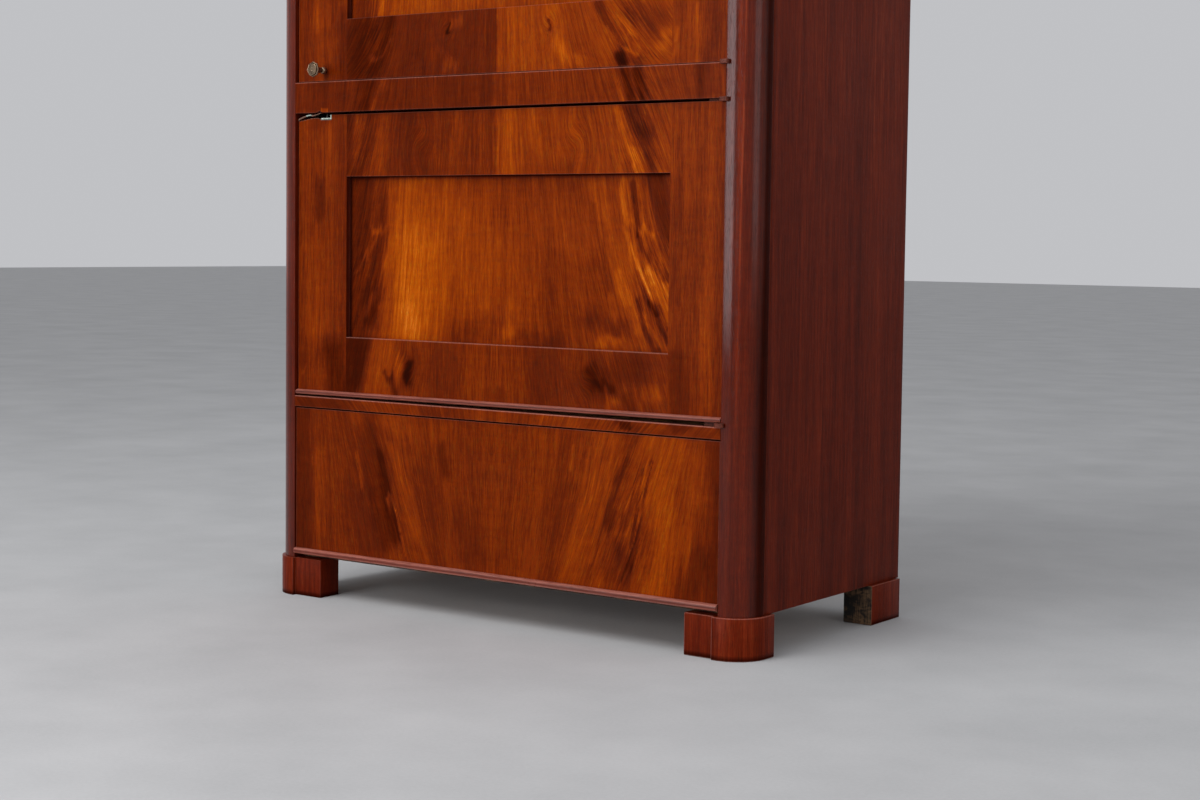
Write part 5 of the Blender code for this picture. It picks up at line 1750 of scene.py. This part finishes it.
def set_heads(name, body, spots, tree, radius, height, slot_width=0.0, seed=1):
    """Heads at their spots, as one piece; each spot is its place and the way it faces."""
    mesh = bpy.data.meshes.new(name)
    mesh.from_pydata([Vector(at) - SUNK * Vector(way) for at, way in spots], [], [])
    layer = mesh.attributes.new("facing", "FLOAT_VECTOR", "POINT")
    layer.data.foreach_set("vector", [part for _, way in spots for part in way])
    piece = bpy.data.objects.new(name, mesh)
    bpy.context.scene.collection.objects.link(piece)
    step = piece.modifiers.new("heads", "NODES")
    step.node_group, identifiers = tree
    values = {"Head radius": radius, "Head height": height, "Slot width": slot_width, "Seed": seed}
    for label, value in values.items():
        step[identifiers[label]] = value
    settle(piece)
    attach(piece, body)


# Boards that the back is nailed to, and how far out its nails lie
NAIL_ROWS = ("bottom_board", "dust_board", "middle_floor", "top_board")
NAILS_OUT = (0.03, 0.15, 0.27, 0.39, 0.49)
# Nails in each door stop, and how far from its ends the outer ones lie
STOP_NAILS = (("door_stop_lower", 4), ("door_stop_upper", 6))
STOP_NAIL_IN = 0.06
# Screws along a shelf cleat and round a rail socket, and how far in from its plate's ends a small screw is
CLEAT_SHARES = (0.12, 0.5, 0.88)
SOCKET_ANGLES = (90, 210, 330)
SOCKET_SHARE = 0.8
GUIDE_SCREW_IN = 0.0034
KEEPER_SCREW_IN = 0.0038
KEEPER_PLATE_T = 0.0015
# Radius and height of the heads, and the width of a screw's slot
BACK_NAIL = (0.0034, 0.0008)
STOP_NAIL = (0.0022, 0.0010)
INNER_SCREW = (0.0030, 0.0011, 0.0007)
SMALL_SCREW = (0.0020, 0.0009, 0.0005)


def build_fixings():
    """Nails and screws that hold the inner pieces, each set made by geometry nodes."""
    nails = head_tree("nail_heads", IRON, 6, False)
    screws = head_tree("screw_heads", IRON, 24, True)
    back = BACK_Y - NAIL_ROOM
    spots = []
    for node in NAIL_ROWS:
        z = (low(node).z + high(node).z) / 2
        spots += [((side * x, back, z), (0, 1, 0)) for side in (-1, 1) for x in NAILS_OUT]
    set_heads("back_nails", "case", spots, nails, *BACK_NAIL)

    spots = []
    for node, count in STOP_NAILS:
        (x0, y0, z0), (x1, y1, z1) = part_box(node)
        for z in np.linspace(z0 + STOP_NAIL_IN, z1 - STOP_NAIL_IN, count):
            spots.append(((x1, (y0 + y1) / 2, float(z)), (1, 0, 0)))
    set_heads("stop_nails", "case", spots, nails, *STOP_NAIL, seed=2)

    spots = []
    for side, word in ((1, "left"), (-1, "right")):
        (x0, y0, z0), (x1, y1, z1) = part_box(f"shelf_cleat_{word}")
        face, z = (x1 if side > 0 else x0), (z0 + z1) / 2
        spots += [((face, y0 + share * (y1 - y0), z), (side, 0, 0)) for share in CLEAT_SHARES]
        (x0, y0, z0), (x1, y1, z1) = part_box(f"rail_socket_{word}")
        face = x1 if side > 0 else x0
        for turn in map(math.radians, SOCKET_ANGLES):
            y = (y0 + y1) / 2 + SOCKET_SHARE * (y1 - y0) / 2 * math.cos(turn)
            z = (z0 + z1) / 2 + SOCKET_SHARE * (z1 - z0) / 2 * math.sin(turn)
            spots.append(((face, y, z), (side, 0, 0)))
    set_heads("inner_screws", "case", spots, screws, *INNER_SCREW, seed=3)

    (x0, y0, z0), (x1, y1, z1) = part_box("bolt_guide")
    spots = [((x, (y0 + y1) / 2, z1), (0, 0, 1)) for x in (x0 + GUIDE_SCREW_IN, x1 - GUIDE_SCREW_IN)]
    set_heads("guide_screws", "case", spots, screws, *SMALL_SCREW, seed=4)
    (x0, y0, z0), (x1, y1, z1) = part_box("bolt_keeper")
    plate_back, z = y0 + KEEPER_PLATE_T, (z0 + z1) / 2
    spots = [((x, plate_back, z), (0, 1, 0)) for x in (x0 + KEEPER_SCREW_IN, x1 - KEEPER_SCREW_IN)]
    set_heads("keeper_screws", BODY_OF["bolt_keeper"], spots, screws, *SMALL_SCREW, seed=5)


def finish_metal():
    """Brass and iron parts keep their CAD shape and get their finish."""
    plates = [n for n in frame["nodes"] if n.endswith("_plate")]
    fittings = ["bolt_guide", "bolt_keeper", "slide_bolt", "latch_tongue"]
    finishes = (
        (["catch_lining"], PALE_METAL, "aged_brass"),
        (plates, BROWNED, "worn_iron"),
        (fittings, IRON, "worn_iron"),
    )
    for nodes, material, slot in finishes:
        for name in nodes:
            node = frame["nodes"][name]
            for place in node.material_slots:
                place.material = material
            if not node.material_slots:
                node.data.materials.append(material)


# How far the floor reaches from the middle
FLOOR_REACH = 30


def build_stage():
    """A plain pale floor."""
    material, tree, shader = start_material("pale_floor")
    place = object_places(tree)
    cloud = noise(tree, place, (3, 3, 3), 6, 0.6)
    grit = noise(tree, place, (160, 160, 160), 2, 0.6)
    shade = weighed(tree, grit, 0.25, times(tree, cloud, 0.75))
    colour = shades(tree, shade, ((0.35, (0.43, 0.433, 0.437)), (0.65, (0.50, 0.502, 0.505))))
    connect(tree, shader, Base_Color=colour, Roughness=0.8, Specular_IOR_Level=0.2)
    mesh = bpy.data.meshes.new("floor")
    corners = [(x * FLOOR_REACH, y * FLOOR_REACH, 0) for x, y in ((-1, -1), (1, -1), (1, 1), (-1, 1))]
    mesh.from_pydata(corners, [], [(0, 1, 2, 3)])
    mesh_piece("floor", mesh, [material])


def softbox(name, at, aim, size, brightness, colour=(1, 1, 1), spread_angle=180):
    """A soft rectangular lamp that faces a point."""
    lamp = bpy.data.lights.new(name, "AREA")
    lamp.shape = "RECTANGLE"
    lamp.size, lamp.size_y = size
    lamp.energy = brightness * math.pi * size[0] * size[1]
    lamp.color = colour
    lamp.spread = math.radians(spread_angle)
    holder = bpy.data.objects.new(name, lamp)
    holder.location = at
    holder.rotation_euler = (Vector(aim) - Vector(at)).to_track_quat("-Z", "Y").to_euler()
    holder.visible_camera = False
    bpy.context.scene.collection.objects.link(holder)


# Lamps: place, the point that they face, width and height, brightness, colour, and how wide they spread
LAMPS = {
    "front_window": ((-0.66, -4.50, 1.25), (0.10, -0.25, 1.0), (2.4, 1.8), 3.9, (0.92, 0.96, 1.0), 140),
    "side_window": ((4.54, -0.96, 1.70), (0.53, -0.25, 1.0), (1.6, 2.2), 1.7, (1.0, 0.97, 0.97)),
    "ceiling": ((-0.80, -3.20, 4.60), (0.0, -0.20, 0.6), (3.0, 3.0), 5.0),
}
ROOM_COLOUR = (0.53, 0.535, 0.555, 1)


def build_light():
    """A wide window before the front, a narrow one far to the right, and a pale even room."""
    world = bpy.data.worlds.new("pale_room")
    world.use_nodes = True
    back = world.node_tree.nodes["Background"]
    back.inputs["Color"].default_value = ROOM_COLOUR
    back.inputs["Strength"].default_value = 1.0
    bpy.context.scene.world = world
    for name, values in LAMPS.items():
        softbox(name, *values)


def build_camera():
    """The photograph's camera, and plain colours."""
    lens = bpy.data.cameras.new("camera")
    lens.lens = CAMERA_LENS
    lens.sensor_width = CAMERA_FRAME_W
    lens.shift_y = CAMERA_SHIFT
    camera = bpy.data.objects.new("camera", lens)
    camera.location = CAMERA_AT
    angles = (90 + CAMERA_PITCH, CAMERA_ROLL, CAMERA_TURN)
    camera.rotation_euler = [math.radians(angle) for angle in angles]
    bpy.context.scene.collection.objects.link(camera)
    bpy.context.scene.camera = camera
    bpy.context.scene.view_settings.view_transform = "Standard"


build_camera()
build_front()
build_beads()
build_case()
build_feet()
build_fittings()
build_knob()
build_splinters()
build_fixings()
finish_metal()
build_stage()
build_light()
